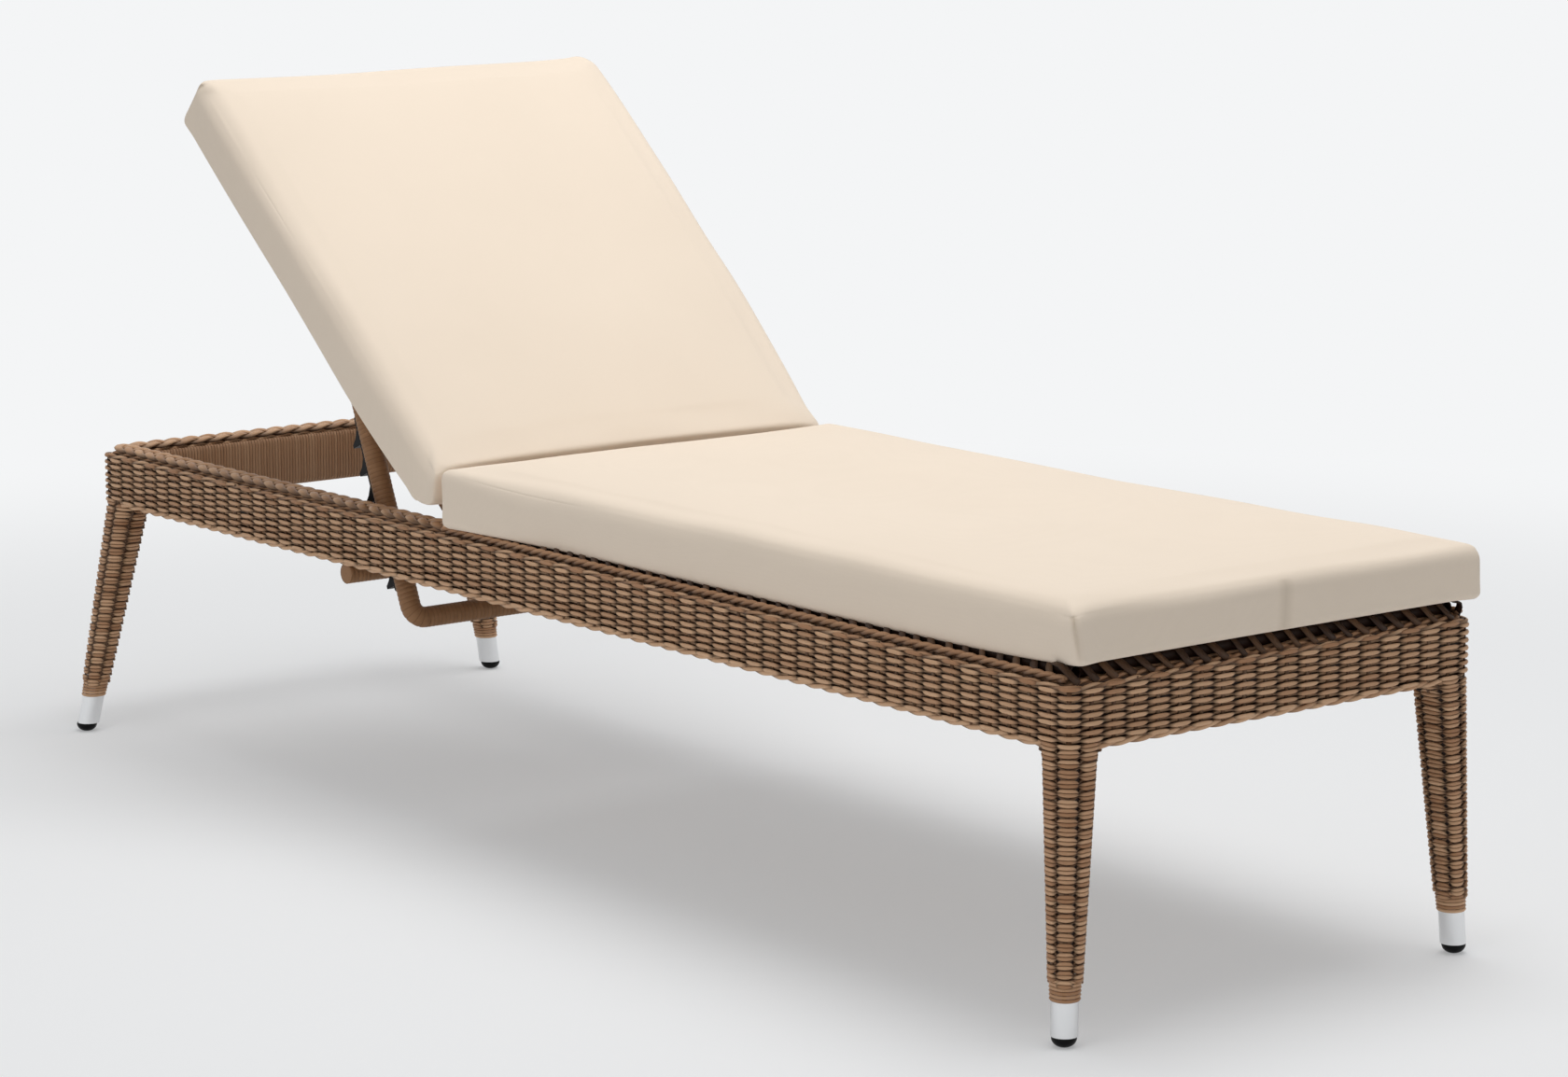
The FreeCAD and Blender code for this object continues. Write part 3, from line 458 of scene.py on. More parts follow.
class Strands:
    """Gathers strands, each a row of centres with the way out of the weave at every centre."""

    def __init__(self, seed):
        self.random = np.random.default_rng(seed)
        self.points, self.quads, self.lay, self.lit = [], [], [], []
        self.count = 0

    def add(self, centres, outward, width, depth, closed=False, lit=1.0, sides=6, tone=None):
        """Adds a strand; lit says how far it lies in the light, from nought in a gap to one on top."""
        underside_light = 0.24
        centres = np.asarray(centres, float)
        outward = np.broadcast_to(np.asarray(outward, float), centres.shape)
        rings = len(centres)
        if closed:
            ahead = np.roll(centres, -1, axis=0) - np.roll(centres, 1, axis=0)
        else:
            ahead = np.gradient(centres, axis=0)
        ahead = unit(ahead)
        across = unit(np.cross(ahead, outward))
        out = np.cross(across, ahead)
        turns = 2 * math.pi * np.arange(sides) / sides - math.pi / 2
        width = np.broadcast_to(np.asarray(width, float), (rings,))[:, None, None]
        spread = np.cos(turns)[None, :, None] * across[:, None, :] * width / 2
        rise = np.sin(turns)[None, :, None] * out[:, None, :] * depth / 2
        self.points.append((centres[:, None, :] + spread + rise).reshape(-1, 3))

        lay = np.empty((rings, sides, 3))
        lay[:, :, 0] = run_along(centres)[:, None]
        lay[:, :, 1] = np.arange(sides)[None, :] / sides
        lay[:, :, 2] = self.random.random() if tone is None else tone
        self.lay.append(lay.reshape(-1, 3))
        shown = np.broadcast_to(np.asarray(lit, float), (rings,))
        self.lit.append((shown[:, None] * swing(underside_light, turns)[None, :]).ravel())

        first = np.arange(rings if closed else rings - 1)
        second = (first + 1) % rings
        side = np.arange(sides)
        beside = (side + 1) % sides
        corners = (
            first[:, None] * sides + side, second[:, None] * sides + side,
            second[:, None] * sides + beside, first[:, None] * sides + beside,
        )
        quads = np.stack([np.broadcast_to(c, (len(first), sides)) for c in corners], axis=-1)
        self.quads.append(quads.reshape(-1, 4) + self.count)
        if not closed:
            for ring, order in ((0, 1), (rings - 1, -1)):
                for start in range(1, sides - 2, 2):
                    cap = np.array([0, start, start + 1, start + 2]) + ring * sides + self.count
                    self.quads.append(cap[None, ::order])
        self.count += rings * sides

    def shade_backing(self, sections, heights, inset, thickness=0.0008):
        """A dark closed band close behind the weave, through outlines one above the other: painted shade,
        since its points carry no light and take the gap shade colour.
        """
        count = len(sections[0][0])
        step = np.arange(count)
        beside = (step + 1) % count
        levels = [(*section, height, inset) for section, height in zip(sections, heights)]
        levels += [(*level[:3], inset + thickness) for level in levels[::-1]]
        for level, (outline, outward, height, sunk) in enumerate(levels):
            self.points.append(at_height(outline - outward * sunk, height))
            self.lay.append(np.zeros((count, 3)))
            # No light: the band shows only painted gap shade through the weave's openings
            self.lit.append(np.zeros(count))
            here = self.count + level * count
            after = self.count + (level + 1) % len(levels) * count
            self.quads.append(joined_quads(here + step, after + step, here + beside, after + beside))
        self.count += len(levels) * count

    def piece(self, name, material, body, slot, nodes=()):
        mesh_piece(
            name, np.concatenate(self.points), np.concatenate(self.quads), material, body, nodes,
            {"lay": np.concatenate(self.lay), "lit": np.concatenate(self.lit)})


def rounded_outline(half_x, half_y, bend, counts):
    """Points and outward directions round a rounded rectangle, evenly spread between its corners' middles.

    It starts at the corner of least x and least y, and counts gives the points on each of the four sides.
    """
    arc = math.pi / 2 * bend
    flats = (2 * (half_x - bend), 2 * (half_y - bend)) * 2
    centres = [
        (bend - half_x, bend - half_y), (half_x - bend, bend - half_y),
        (half_x - bend, half_y - bend), (bend - half_x, half_y - bend),
    ]
    points, outward = [], []
    for side, (flat, count) in enumerate(zip(flats, counts)):
        along = (flat + arc) * np.arange(count) / count
        turn = np.clip(along / arc - 0.5, -0.5, 0.0) + np.clip((along - flat) / arc - 0.5, 0.0, 0.5)
        angle = (side - 1 + turn) * math.pi / 2
        way = np.stack([np.cos(angle), np.sin(angle)], axis=-1)
        straight = np.clip(along - arc / 2, 0.0, flat)
        heading = side * math.pi / 2
        start = np.array(centres[side])
        spot = start + straight[:, None] * np.array([math.cos(heading), math.sin(heading)]) + way * bend
        points.append(spot)
        outward.append(way)
    return np.concatenate(points), np.concatenate(outward)


def woven_row(strands, outline, outward, samples, phase, height, lift, sink, widths, depth, pinch, meet,
              shade):
    """Strands side by side round an outline, over one stake and behind the next.

    Between the stakes they are pinched and moved to meet the next row, which leaves dark openings there.
    """
    squareness, waviness = 2.3, 0.00042
    gap_light, over_light, behind_light = 0.24, 0.76, 0.34
    count = len(outline)
    stakes = count // samples
    wave = np.cos(math.pi * (np.arange(count) / samples + phase))
    wave = np.tanh(squareness * wave) / math.tanh(squareness)
    uneven = np.interp(
        np.arange(count) / samples, np.arange(stakes + 1),
        np.resize(strands.random.normal(0.0, waviness, stakes), stakes + 1))
    between = 1 - wave ** 2
    spread = 1 - pinch * between
    heights = height + uneven + (meet if phase else -meet) * between
    spot = outline + outward * (lift * wave - sink)[:, None]
    flat = at_height(outward, 0.0)
    lit = shade * (gap_light + np.where(wave > 0, over_light, behind_light) * wave ** 2)
    below = -sum(widths) / 2
    for width in widths:
        middle = below + width / 2
        below += width
        strands.add(at_height(spot, heights + middle * spread), flat, width * spread, depth,
                    closed=True, lit=lit)


def twisted_row(strands, centres, outward, radius, twist, closed=False):
    """Two strands twisted round each other along a line."""
    apart, flatness, valley_light = 0.62, 1.7, 0.32
    outward = np.array(outward)
    run = run_along(centres)
    turns = max(1, round(run[-1] / twist))
    ahead = unit(np.gradient(centres, axis=0))
    across = unit(np.cross(ahead, outward))
    for half in (0.0, math.pi):
        angle = 2 * math.pi * turns * run / run[-1] + half
        offset = np.cos(angle)[:, None] * across + np.sin(angle)[:, None] * outward
        strands.add(centres + offset * radius * apart, outward, radius * 2, radius * flatness, closed,
                    swing(valley_light, angle))


def straight_row(axis, places, beside, height):
    """Points at places along X (axis 0) or Y (axis 1)."""
    centres = np.empty((len(places), 3))
    centres[:, axis], centres[:, 1 - axis], centres[:, 2] = places, beside, height
    return centres


def rail_counts():
    """Points of a row on each of the four rails."""
    size = sizes()
    return [stakes * RAIL_SAMPLES for stakes in (size.long_stakes, size.short_stakes) * 2]


def rail_weave_strands():
    """Woven rows and stakes on the outside of the rails, the upper rows as a piece of their own."""
    size = sizes()
    strands, upper = Strands(seed=11), Strands(seed=15)
    row_margin, stake_margin, stake_sink, backing_margin = 0.0068, 0.004, 0.0024, 0.003
    outline, outward = rounded_outline(HALF_LENGTH, HALF_WIDTH, size.frame_bend, rail_counts())
    low, high = RAIL_BASE + row_margin, RAIL_TOP - row_margin
    rows = round((high - low) / size.row_pitch) + 1
    for row, height in enumerate(np.linspace(low, high, rows)):
        woven_row(strands if 2 * row < rows else upper, outline, outward, RAIL_SAMPLES, row % 2, height,
                  lift=size.weave_lift, sink=0.0020, widths=[size.strand_width], depth=size.strand_depth,
                  pinch=0.45, meet=size.row_pitch * 0.10, shade=1.0)
    stake_low, stake_high = RAIL_BASE + stake_margin, RAIL_TOP - stake_margin
    for spot, way in zip(outline[::RAIL_SAMPLES], outward[::RAIL_SAMPLES]):
        stake = np.zeros((3, 3))
        stake[:, :2] = spot - way * stake_sink
        stake[:, 2] = (stake_low, (RAIL_BASE + RAIL_TOP) / 2, stake_high)
        strands.add(stake, (*way, 0.0), width=0.0062, depth=0.0026, lit=0.30)
    # A dark band of painted shade behind the rows, seen through their openings
    strands.shade_backing([(outline, outward)] * 2, (RAIL_BASE + backing_margin, stake_high), inset=0.0040)
    strands.piece("rail_weave", "woven_strand", "frame", "weave", [f"rail_weave_{rail}" for rail in RAILS])
    upper.piece("rail_weave_upper", "woven_strand", "frame", "weave")


def rail_border_strands():
    """Twisted rows along the top of the rails, along their lower outer edge and beside the seat."""
    size = sizes()
    strands = Strands(seed=12)
    least_bend, settled = 0.006, 0.6
    top_rows = (  # inset from the rail's face, drop below its top and radius of a strand
        (0.0030, 0.0052, 0.0027), (0.0110, 0.0020, 0.0031), (0.0200, 0.0012, 0.0031),
        (0.0290, 0.0020, 0.0031),
    )
    for inset, drop, radius in top_rows:
        bend = max(size.frame_bend - inset, least_bend)
        outline, _ = rounded_outline(HALF_LENGTH - inset, HALF_WIDTH - inset, bend, rail_counts())
        centres = at_height(outline, RAIL_TOP - drop - radius * settled)
        twisted_row(strands, centres, UP, radius, twist=0.058, closed=True)

    edge_inset, edge_height = 0.0030, RAIL_BASE + 0.0036
    seat_inset, seat_height, foot_gap = 0.0068, RAIL_TOP + 0.0020, 0.012
    clear = size.leg_top - 0.006
    long_count, short_count = rail_counts()[:2]
    long_edge = np.linspace(clear - HALF_LENGTH, HALF_LENGTH - clear, long_count)
    short_edge = np.linspace(clear - HALF_WIDTH, HALF_WIDTH - clear, short_count)
    beside_seat = np.linspace(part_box("seat_deck")[0].x, HALF_LENGTH - foot_gap, long_count)
    for sign in (-1, 1):
        centres = straight_row(0, long_edge, sign * (HALF_WIDTH - edge_inset), edge_height)
        twisted_row(strands, centres, (0.0, sign, 0.0), radius=0.0028, twist=0.060)
        centres = straight_row(1, short_edge, sign * (HALF_LENGTH - edge_inset), edge_height)
        twisted_row(strands, centres, (sign, 0.0, 0.0), radius=0.0028, twist=0.060)
        centres = straight_row(0, beside_seat, sign * (HALF_WIDTH - seat_inset), seat_height)
        twisted_row(strands, centres, UP, radius=0.0034, twist=0.036)
    strands.piece("rail_border", "woven_strand", "frame", "weave")


def head_braid_strands():
    """Braid of three strands along the top of the rails, from the seat round the head end and back."""
    size = sizes()
    strands = Strands(seed=14)
    inset, bend, pitch = 0.0195, 0.012, 0.084
    wide, thick, weave_rise, valley_light = 0.0122, 0.0056, 0.0024, 0.32
    long_count, short_count, thinned = 1600, 480, 3
    outline, outward = rounded_outline(
        HALF_LENGTH - inset, HALF_WIDTH - inset, bend, [long_count, short_count] * 2)
    order = np.roll(np.arange(len(outline)), long_count)
    kept = order[outline[order][:, 0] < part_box("seat_cushion")[0].x]
    outline, outward = outline[kept], outward[kept]
    run = run_along(outline)
    reach = (size.braid_width - wide) / 2
    middle = RAIL_TOP + size.braid_rise - thick / 2 - weave_rise
    for strand in range(3):
        turn = 2 * math.pi * (run / pitch + strand / 3)
        braided = outline + outward * (reach * np.sin(turn))[:, None]
        centres = at_height(braided, middle + weave_rise * np.sin(2 * turn))
        lit = swing(valley_light, 2 * turn)
        strands.add(centres[::thinned], UP, wide, thick, lit=lit[::thinned], sides=8)
    strands.piece("head_braid", "woven_strand", "frame", "weave")


def rail_lining_strands():
    """Flat strands wound over the inside and underside of each rail."""
    size = sizes()
    strands = Strands(seed=13)
    overlap, depth, least_tone, tone_range = 1.06, 0.0022, 0.1, 0.3
    width = size.lining_pitch * overlap
    inner = RAIL_THICKNESS - depth / 2
    path = (  # inset from the rail's outer face, height, and the way out of the rail, level and up
        (RAIL_THICKNESS - 0.0085, RAIL_TOP - 0.0035, -0.5, 0.9),
        (RAIL_THICKNESS - 0.0030, RAIL_TOP - 0.0048, -0.7, 0.7),
        (inner, RAIL_TOP - 0.0105, -1.0, 0.1),
        (inner, (RAIL_BASE + RAIL_TOP) / 2, -1.0, 0.0),
        (inner, RAIL_BASE + 0.0095, -1.0, -0.1),
        (RAIL_THICKNESS - 0.0042, RAIL_BASE + 0.0030, -0.7, -0.7),
        (RAIL_THICKNESS - 0.0110, RAIL_BASE + 0.0014, -0.1, -1.0),
        (0.0060, RAIL_BASE + 0.0014, 0.0, -1.0),
    )
    insets, heights, level, up = np.array(path).T
    for along, half, limit in ((0, HALF_LENGTH, HALF_WIDTH), (1, HALF_WIDTH, HALF_LENGTH)):
        clear = half - RAIL_THICKNESS
        places = np.linspace(-clear, clear, round(2 * clear / size.lining_pitch))
        for sign in (-1, 1):
            for place in places:
                centres = straight_row(along, np.full(len(path), place), sign * (limit - insets), heights)
                outward = straight_row(along, np.zeros(len(path)), sign * level, up)
                tone = least_tone + tone_range * strands.random.random()
                strands.add(centres, outward, width, depth, lit=0.6, tone=tone)
    strands.piece("rail_lining", "woven_strand", "frame", "weave")


def leg_frame(corner):
    """Middle of a leg at its woven end and at the rail, from the box of its CAD node."""
    size = sizes()
    low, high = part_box(f"leg_weave_{corner}")
    ends = []
    for axis in (0, 1):
        sign = 1 if low[axis] + high[axis] > 0 else -1
        inner, outer = (low[axis], high[axis]) if sign > 0 else (high[axis], low[axis])
        ends.append((outer - sign * size.leg_end / 2, inner + sign * size.leg_top / 2))
    (end_x, top_x), (end_y, top_y) = ends
    return Vector((end_x, end_y, low.z)), Vector((top_x, top_y, high.z))


def leg_section(corner, height, count):
    """Outline of a leg at a height, starting at its outermost corner."""
    size = sizes()
    flare_height, roundest = 0.016, 0.96
    end, top = leg_frame(corner)
    share = (height - end.z) / (top.z - end.z)
    middle = end.lerp(top, share)
    half = (size.leg_end + (size.leg_top - size.leg_end) * share) / 2
    bend = size.leg_end_bend + (size.leg_top_bend - size.leg_end_bend) * share
    outline, outward = rounded_outline(half, half, min(bend, half * roundest), [count // 4] * 4)
    rise = clamped(1 - (top.z - height) / flare_height)
    outline = outline + size.leg_flare * rise ** 2 * np.clip(outward, 0.0, None) ** 2
    flip = np.array([-1.0 if middle.x > 0 else 1.0, -1.0 if middle.y > 0 else 1.0])
    return outline * flip + np.array(middle[:2]), outward * flip


def leg_weave_strands(corner):
    """Woven rows and stakes of a leg, closed below by plain wound rows."""
    size = sizes()
    strands = Strands(seed=20 + CORNERS.index(corner))
    samples, stake_levels = 12, 12
    band_height, row_end, wound_sink, stake_sink = 0.021, 0.004, 0.0021, 0.0022
    wound_start, wound_end, wound_share = 0.0022, 0.0020, 0.94
    stake_start, stake_end = 0.004, 0.003
    count = size.leg_stakes * samples
    end, top = leg_frame(corner)
    band = end.z + band_height
    rows = round((top.z + row_end - band) / size.leg_row_pitch)
    for row, height in enumerate(np.linspace(band, top.z + row_end, rows)):
        outline, outward = leg_section(corner, height, count)
        if corner.startswith("head"):
            outline, outward = (np.roll(line, samples // 2, axis=0) for line in (outline, outward))
        woven_row(strands, outline, outward, samples, row % 2, height,
                  lift=size.weave_lift * 0.75, sink=0.0014, widths=[size.leg_strand_width] * 2, depth=0.0036,
                  pinch=0.60, meet=size.leg_row_pitch * 0.30, shade=0.84)
    wound = round((band - end.z) / size.leg_strand_width) + 1
    for height in np.linspace(end.z + wound_start, band + wound_end, wound):
        outline, outward = leg_section(corner, height, count)
        centres = at_height(outline - outward * wound_sink, height)
        strands.add(centres, at_height(outward, 0.0), size.leg_strand_width * wound_share, depth=0.0044,
                    closed=True, lit=0.8)
    heights = np.linspace(end.z + stake_start, top.z + stake_end, stake_levels)
    sections = [leg_section(corner, height, count) for height in heights]
    for stake in range(0, count, samples):
        spots = np.array([outline[stake] - outward[stake] * stake_sink for outline, outward in sections])
        ways = np.array([outward[stake] for _, outward in sections])
        strands.add(at_height(spots, heights), at_height(ways, 0.0), width=0.0060, depth=0.0026, lit=0.28)
    # A dark band of painted shade behind the rows, seen through their openings
    strands.shade_backing(sections, heights, inset=0.0026)
    strands.piece(
        f"leg_weave_{corner}_strands", "woven_strand", "frame", "weave", [f"leg_weave_{corner}"])


def wound_tube(name, path, side_way, radius, body, node):
    """A flat strand wound round a tube that follows a path in one plane."""
    pitch, sides = sizes().wound_pitch, 20
    seam_sink, shoulder_sink = 0.00062, 0.00010
    profile = ((0.0, seam_sink), (0.16, shoulder_sink), (0.5, 0.0), (0.84, shoulder_sink))
    least_tone, tone_range, end_tone = 0.3, 0.4, 0.4
    seam_light, turn_light, end_light = 0.5, 0.95, 0.75
    end_rings = ((0.985, -0.0004), (0.9, 0.0), (0.5, 0.0), (0.03, 0.0))
    least_spread = 1e-7
    path = np.asarray(path, float)
    run = run_along(path)
    heading = unit(np.gradient(path, run, axis=0))
    turns = math.ceil(run[-1] / pitch) + 1
    step = np.arange(turns * sides + 1)
    angle = 2 * math.pi * step / sides
    random = np.random.default_rng(len(name) * 7 + int(radius * 1e5))
    tones = np.repeat(least_tone + tone_range * random.random(turns + 1), sides)[:len(step)]
    side_way = unit(np.asarray(side_way, float))
    points, lay, lit, places = [], [], [], []
    for share, sunk in profile:
        along = np.clip((step / sides + share - 1) * pitch, 0.0, run[-1])
        places.append(along)
        spot = np.column_stack([np.interp(along, run, path[:, axis]) for axis in range(3)])
        ahead = unit(np.column_stack([np.interp(along, run, heading[:, axis]) for axis in range(3)]))
        other = np.cross(ahead, side_way)
        way = np.cos(angle)[:, None] * side_way + np.sin(angle)[:, None] * other
        points.append(spot + way * (radius - sunk))
        lay.append(np.column_stack([angle * radius, np.full(len(step), share), tones]))
        lit.append(np.full(len(step), seam_light if sunk == seam_sink else turn_light))

    rows, total = len(profile), len(step)
    places = np.concatenate(places)
    quads = []
    for row in range(rows):
        first = row * total + np.arange(total - 1)
        second = first + total
        if row == rows - 1:
            first, second = first[:total - 1 - sides], np.arange(sides, total - 1)
        quads.append(joined_quads(first, second, first + 1, second + 1))
    quads = np.concatenate(quads)
    spread = places[quads].max(axis=1) - places[quads].min(axis=1)
    quads = [quads[spread > least_spread]]

    count = rows * total
    ring = np.arange(sides)
    beside = (ring + 1) % sides
    around = 2 * math.pi * ring / sides
    for end, way in ((0, -1.0), (-1, 1.0)):
        other = np.cross(heading[end], side_way)
        rim = np.cos(around)[:, None] * side_way + np.sin(around)[:, None] * other
        for level, (share, out) in enumerate(end_rings):
            points.append(path[end] + rim * radius * share + heading[end] * way * out)
            lay.append(np.column_stack([around * radius, np.full(sides, share), np.full(sides, end_tone)]))
            lit.append(np.full(sides, end_light))
            if level:
                outer = count - sides
                cap = joined_quads(outer + ring, count + ring, outer + beside, count + beside)
                quads.append(cap if way < 0 else cap[:, ::-1])
            count += sides
    mesh_piece(
        name, np.concatenate(points), np.concatenate(quads), "wound_strand", body, [node],
        {"lay": np.concatenate(lay), "lit": np.concatenate(lit)})


def back_place(points):
    """Points of the level backrest, as distances from the hinge, tilted to where it rests."""
    tilt = np.array(Matrix.Rotation(REST_TILT, 3, "Y"))
    return np.asarray(points, float) @ tilt.T + np.array(HINGE)


def box_middle(node):
    """Middle of a CAD node's box."""
    low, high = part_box(node)
    return (low + high) / 2


def prop_place(points):
    """Points of the upright prop, as distances from its pivot, leaned to where it rests."""
    crossbar = box_middle("prop_crossbar")
    lean = math.atan2(crossbar.x - PIVOT.x, PIVOT.z - crossbar.z)
    turn = np.array(Matrix.Rotation(-lean, 3, "Y"))
    return np.asarray(points, float) @ turn.T + np.array(PIVOT)


def bar_across(name, node, body):
    """A wound tube along Y, from the box of its CAD node."""
    low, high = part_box(node)
    middle = box_middle(node)
    stations = 9
    path = [(middle.x, y, middle.z) for y in np.linspace(low.y, high.y, stations)]
    wound_tube(name, path, (1.0, 0.0, 0.0), (high.x - low.x) / 2, body, node)


def wound_back_tubes():
    """Wound side tubes and cross tubes of the backrest."""
    size = sizes()
    stations = np.linspace(-size.back_length, size.back_tail, 15)
    for side in SIDES:
        node = f"back_side_tube_{side}"
        low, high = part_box(node)
        middle = (low.y + high.y) / 2
        path = back_place([(x, middle, 0.0) for x in stations])
        wound_tube(f"back_side_{side}_winding", path, (0.0, 1.0, 0.0), (high.y - low.y) / 2, "backrest", node)
    for place in ("low", "mid", "top"):
        bar_across(f"back_cross_{place}_winding", f"back_cross_tube_{place}", "backrest")


def wound_prop_tubes():
    """Wound arms of the prop with their bent ends, its crossbar and the catch bar."""
    size = sizes()
    bend = size.prop_bend
    crossbar_low, crossbar_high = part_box("prop_crossbar")
    radius = (crossbar_high.x - crossbar_low.x) / 2
    length = (box_middle("prop_crossbar") - Vector((PIVOT.x, 0.0, PIVOT.z))).length
    side_way = prop_place([(1.0, 0.0, 0.0)])[0] - np.array(PIVOT)
    angles = np.linspace(0.0, math.pi / 2, 12)[1:]
    for side, sign in zip(SIDES, (-1, 1)):
        node = f"prop_arm_{side}"
        low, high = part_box(node)
        y = (low.y + radius) if sign < 0 else (high.y - radius)
        straight = [(0.0, y, z) for z in np.linspace(size.prop_past_pivot, bend - length, 24)]
        curve = [
            (0.0, y - sign * bend * (1 - math.cos(a)), bend - length - bend * math.sin(a)) for a in angles]
        wound_tube(f"prop_arm_{side}_winding", prop_place(straight + curve), side_way, radius, "prop", node)
    bar_across("prop_crossbar_winding", "prop_crossbar", "prop")
    bar_across("catch_bar_winding", "catch_bar", "frame")


def strap_net(strands, low_x, high_x, half_wide, height, thickness, along, across):
    """Woven straps, each of four strands side by side, over and under each other at the crossings."""
    strap = sizes().strap_width
    ribs, rib_depth, overlap, squareness, samples = 4, 0.0013, 1.08, 1.8, 6
    rib = strap / ribs
    lift = (thickness - rib_depth) / 2
    places_x = np.linspace(low_x + strap / 2, high_x - strap / 2, along)
    places_y = np.linspace(strap / 2 - half_wide, half_wide - strap / 2, across)
    for axis, places, others, ends in ((0, places_y, places_x, (low_x, high_x)),
                                       (1, places_x, places_y, (-half_wide, half_wide))):
        count = len(others)
        spots = np.linspace(*ends, count * samples + 1)
        crossing = np.interp(spots, others, np.arange(count))
        for index, place in enumerate(places):
            wave = np.tanh(squareness * np.cos(math.pi * (crossing + index + axis))) * lift
            tone = strands.random.random()
            for step in range(ribs):
                beside = place + (step - (ribs - 1) / 2) * rib
                centres = straight_row(axis, spots, beside, height + wave)
                strands.add(centres, UP, rib * overlap, rib_depth, lit=0.9, tone=tone)


def seat_deck_strands():
    """Woven straps of the seat."""
    size = sizes()
    low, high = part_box("seat_deck")
    strands = Strands(seed=41)
    strap_net(strands, low.x, high.x, high.y, (low.z + high.z) / 2, high.z - low.z,
              size.seat_straps, size.straps_along)
    strands.piece("seat_deck_straps", "woven_strand", "frame", "deck", ["seat_deck"])


def seat_edge_ties():
    """Slanted strands that tie the seat's edge to the near, foot and far rail."""
    size = sizes()
    head_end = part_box("seat_deck")[0].x
    ties = Strands(seed=42)
    rise = (  # inset from the rail's face, height over the rail and share of the slant
        (0.0048, -0.0030, 0.0), (0.0100, 0.0040, 0.35), (0.0138, 0.0105, 0.7), (0.0200, 0.0168, 0.95),
        (0.0310, 0.0180, 1.0),
    )
    slants, widths, lights = (0.6, 1.4), (0.75, 1.1), (0.14, 0.34)
    facing_out, facing_up = 0.8, 0.6
    head_gap, foot_gap, corner_gap = 0.01, 0.02, 0.004
    near_start = head_end + head_gap
    far_start = HALF_LENGTH - corner_gap
    edges = (  # start, way along the rail and length
        ((near_start, -HALF_WIDTH), (1.0, 0.0), HALF_LENGTH - foot_gap - near_start),
        ((HALF_LENGTH, corner_gap - HALF_WIDTH), (0.0, 1.0), 2 * (HALF_WIDTH - corner_gap)),
        ((far_start, HALF_WIDTH), (-1.0, 0.0), far_start - corner_gap - near_start),
    )
    for start, way, run in edges:
        way = np.array(way)
        inward = np.array((-way[1], way[0]))
        outward = (*(-inward * facing_out), facing_up)
        for place in np.arange(size.tie_slant, run, size.tie_spacing):
            slant = size.tie_slant * ties.random.uniform(*slants)
            centres = [
                (*(np.array(start) + way * (place - share * slant) + inward * inset), RAIL_TOP + height)
                for inset, height, share in rise]
            width = size.tie_width * ties.random.uniform(*widths)
            ties.add(centres, outward, width, depth=0.0016, lit=ties.random.uniform(*lights))
    ties.piece("seat_edge_ties", "wound_strand", "frame", "deck")


def back_deck_strands():
    """Woven straps of the backrest."""
    size = sizes()
    strands = Strands(seed=43)
    strap_net(strands, -size.back_length, -size.back_deck_start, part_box("back_deck")[1].y,
              size.back_deck_height, thickness=0.004, along=size.back_straps, across=size.straps_along)
    strands.points = [back_place(points) for points in strands.points]
    strands.piece("back_deck_straps", "woven_strand", "backrest", "deck", ["back_deck"])


def graded(half, edge, fine, coarse):
    """Grid lines from -half to half, fine within a band at each end."""
    near = np.linspace(0.0, edge, max(2, round(edge / fine) + 1))
    middle = np.linspace(edge, 2 * half - edge, max(2, round((2 * half - 2 * edge) / coarse) + 1))
    return np.concatenate([near, middle[1:], 2 * half - near[::-1][1:]]) - half


def block_grid(lines):
    """Points and quads of the surface of a block on three sets of grid lines."""
    counts = [len(line) for line in lines]
    index = {}
    quads = []

    def point(place):
        return index.setdefault(place, len(index))

    for axis in range(3):
        first, second = [other for other in range(3) if other != axis]
        for level, flip in ((0, axis != 1), (counts[axis] - 1, axis == 1)):
            for a in range(counts[first] - 1):
                for b in range(counts[second] - 1):
                    corners = []
                    for step_a, step_b in ((0, 0), (1, 0), (1, 1), (0, 1)):
                        place = [0, 0, 0]
                        place[axis], place[first], place[second] = level, a + step_a, b + step_b
                        corners.append(point(tuple(place)))
                    quads.append(corners[::-1] if flip else corners)
    places = np.array(list(index))
    points = np.column_stack([lines[axis][places[:, axis]] for axis in range(3)])
    return points, np.array(quads)


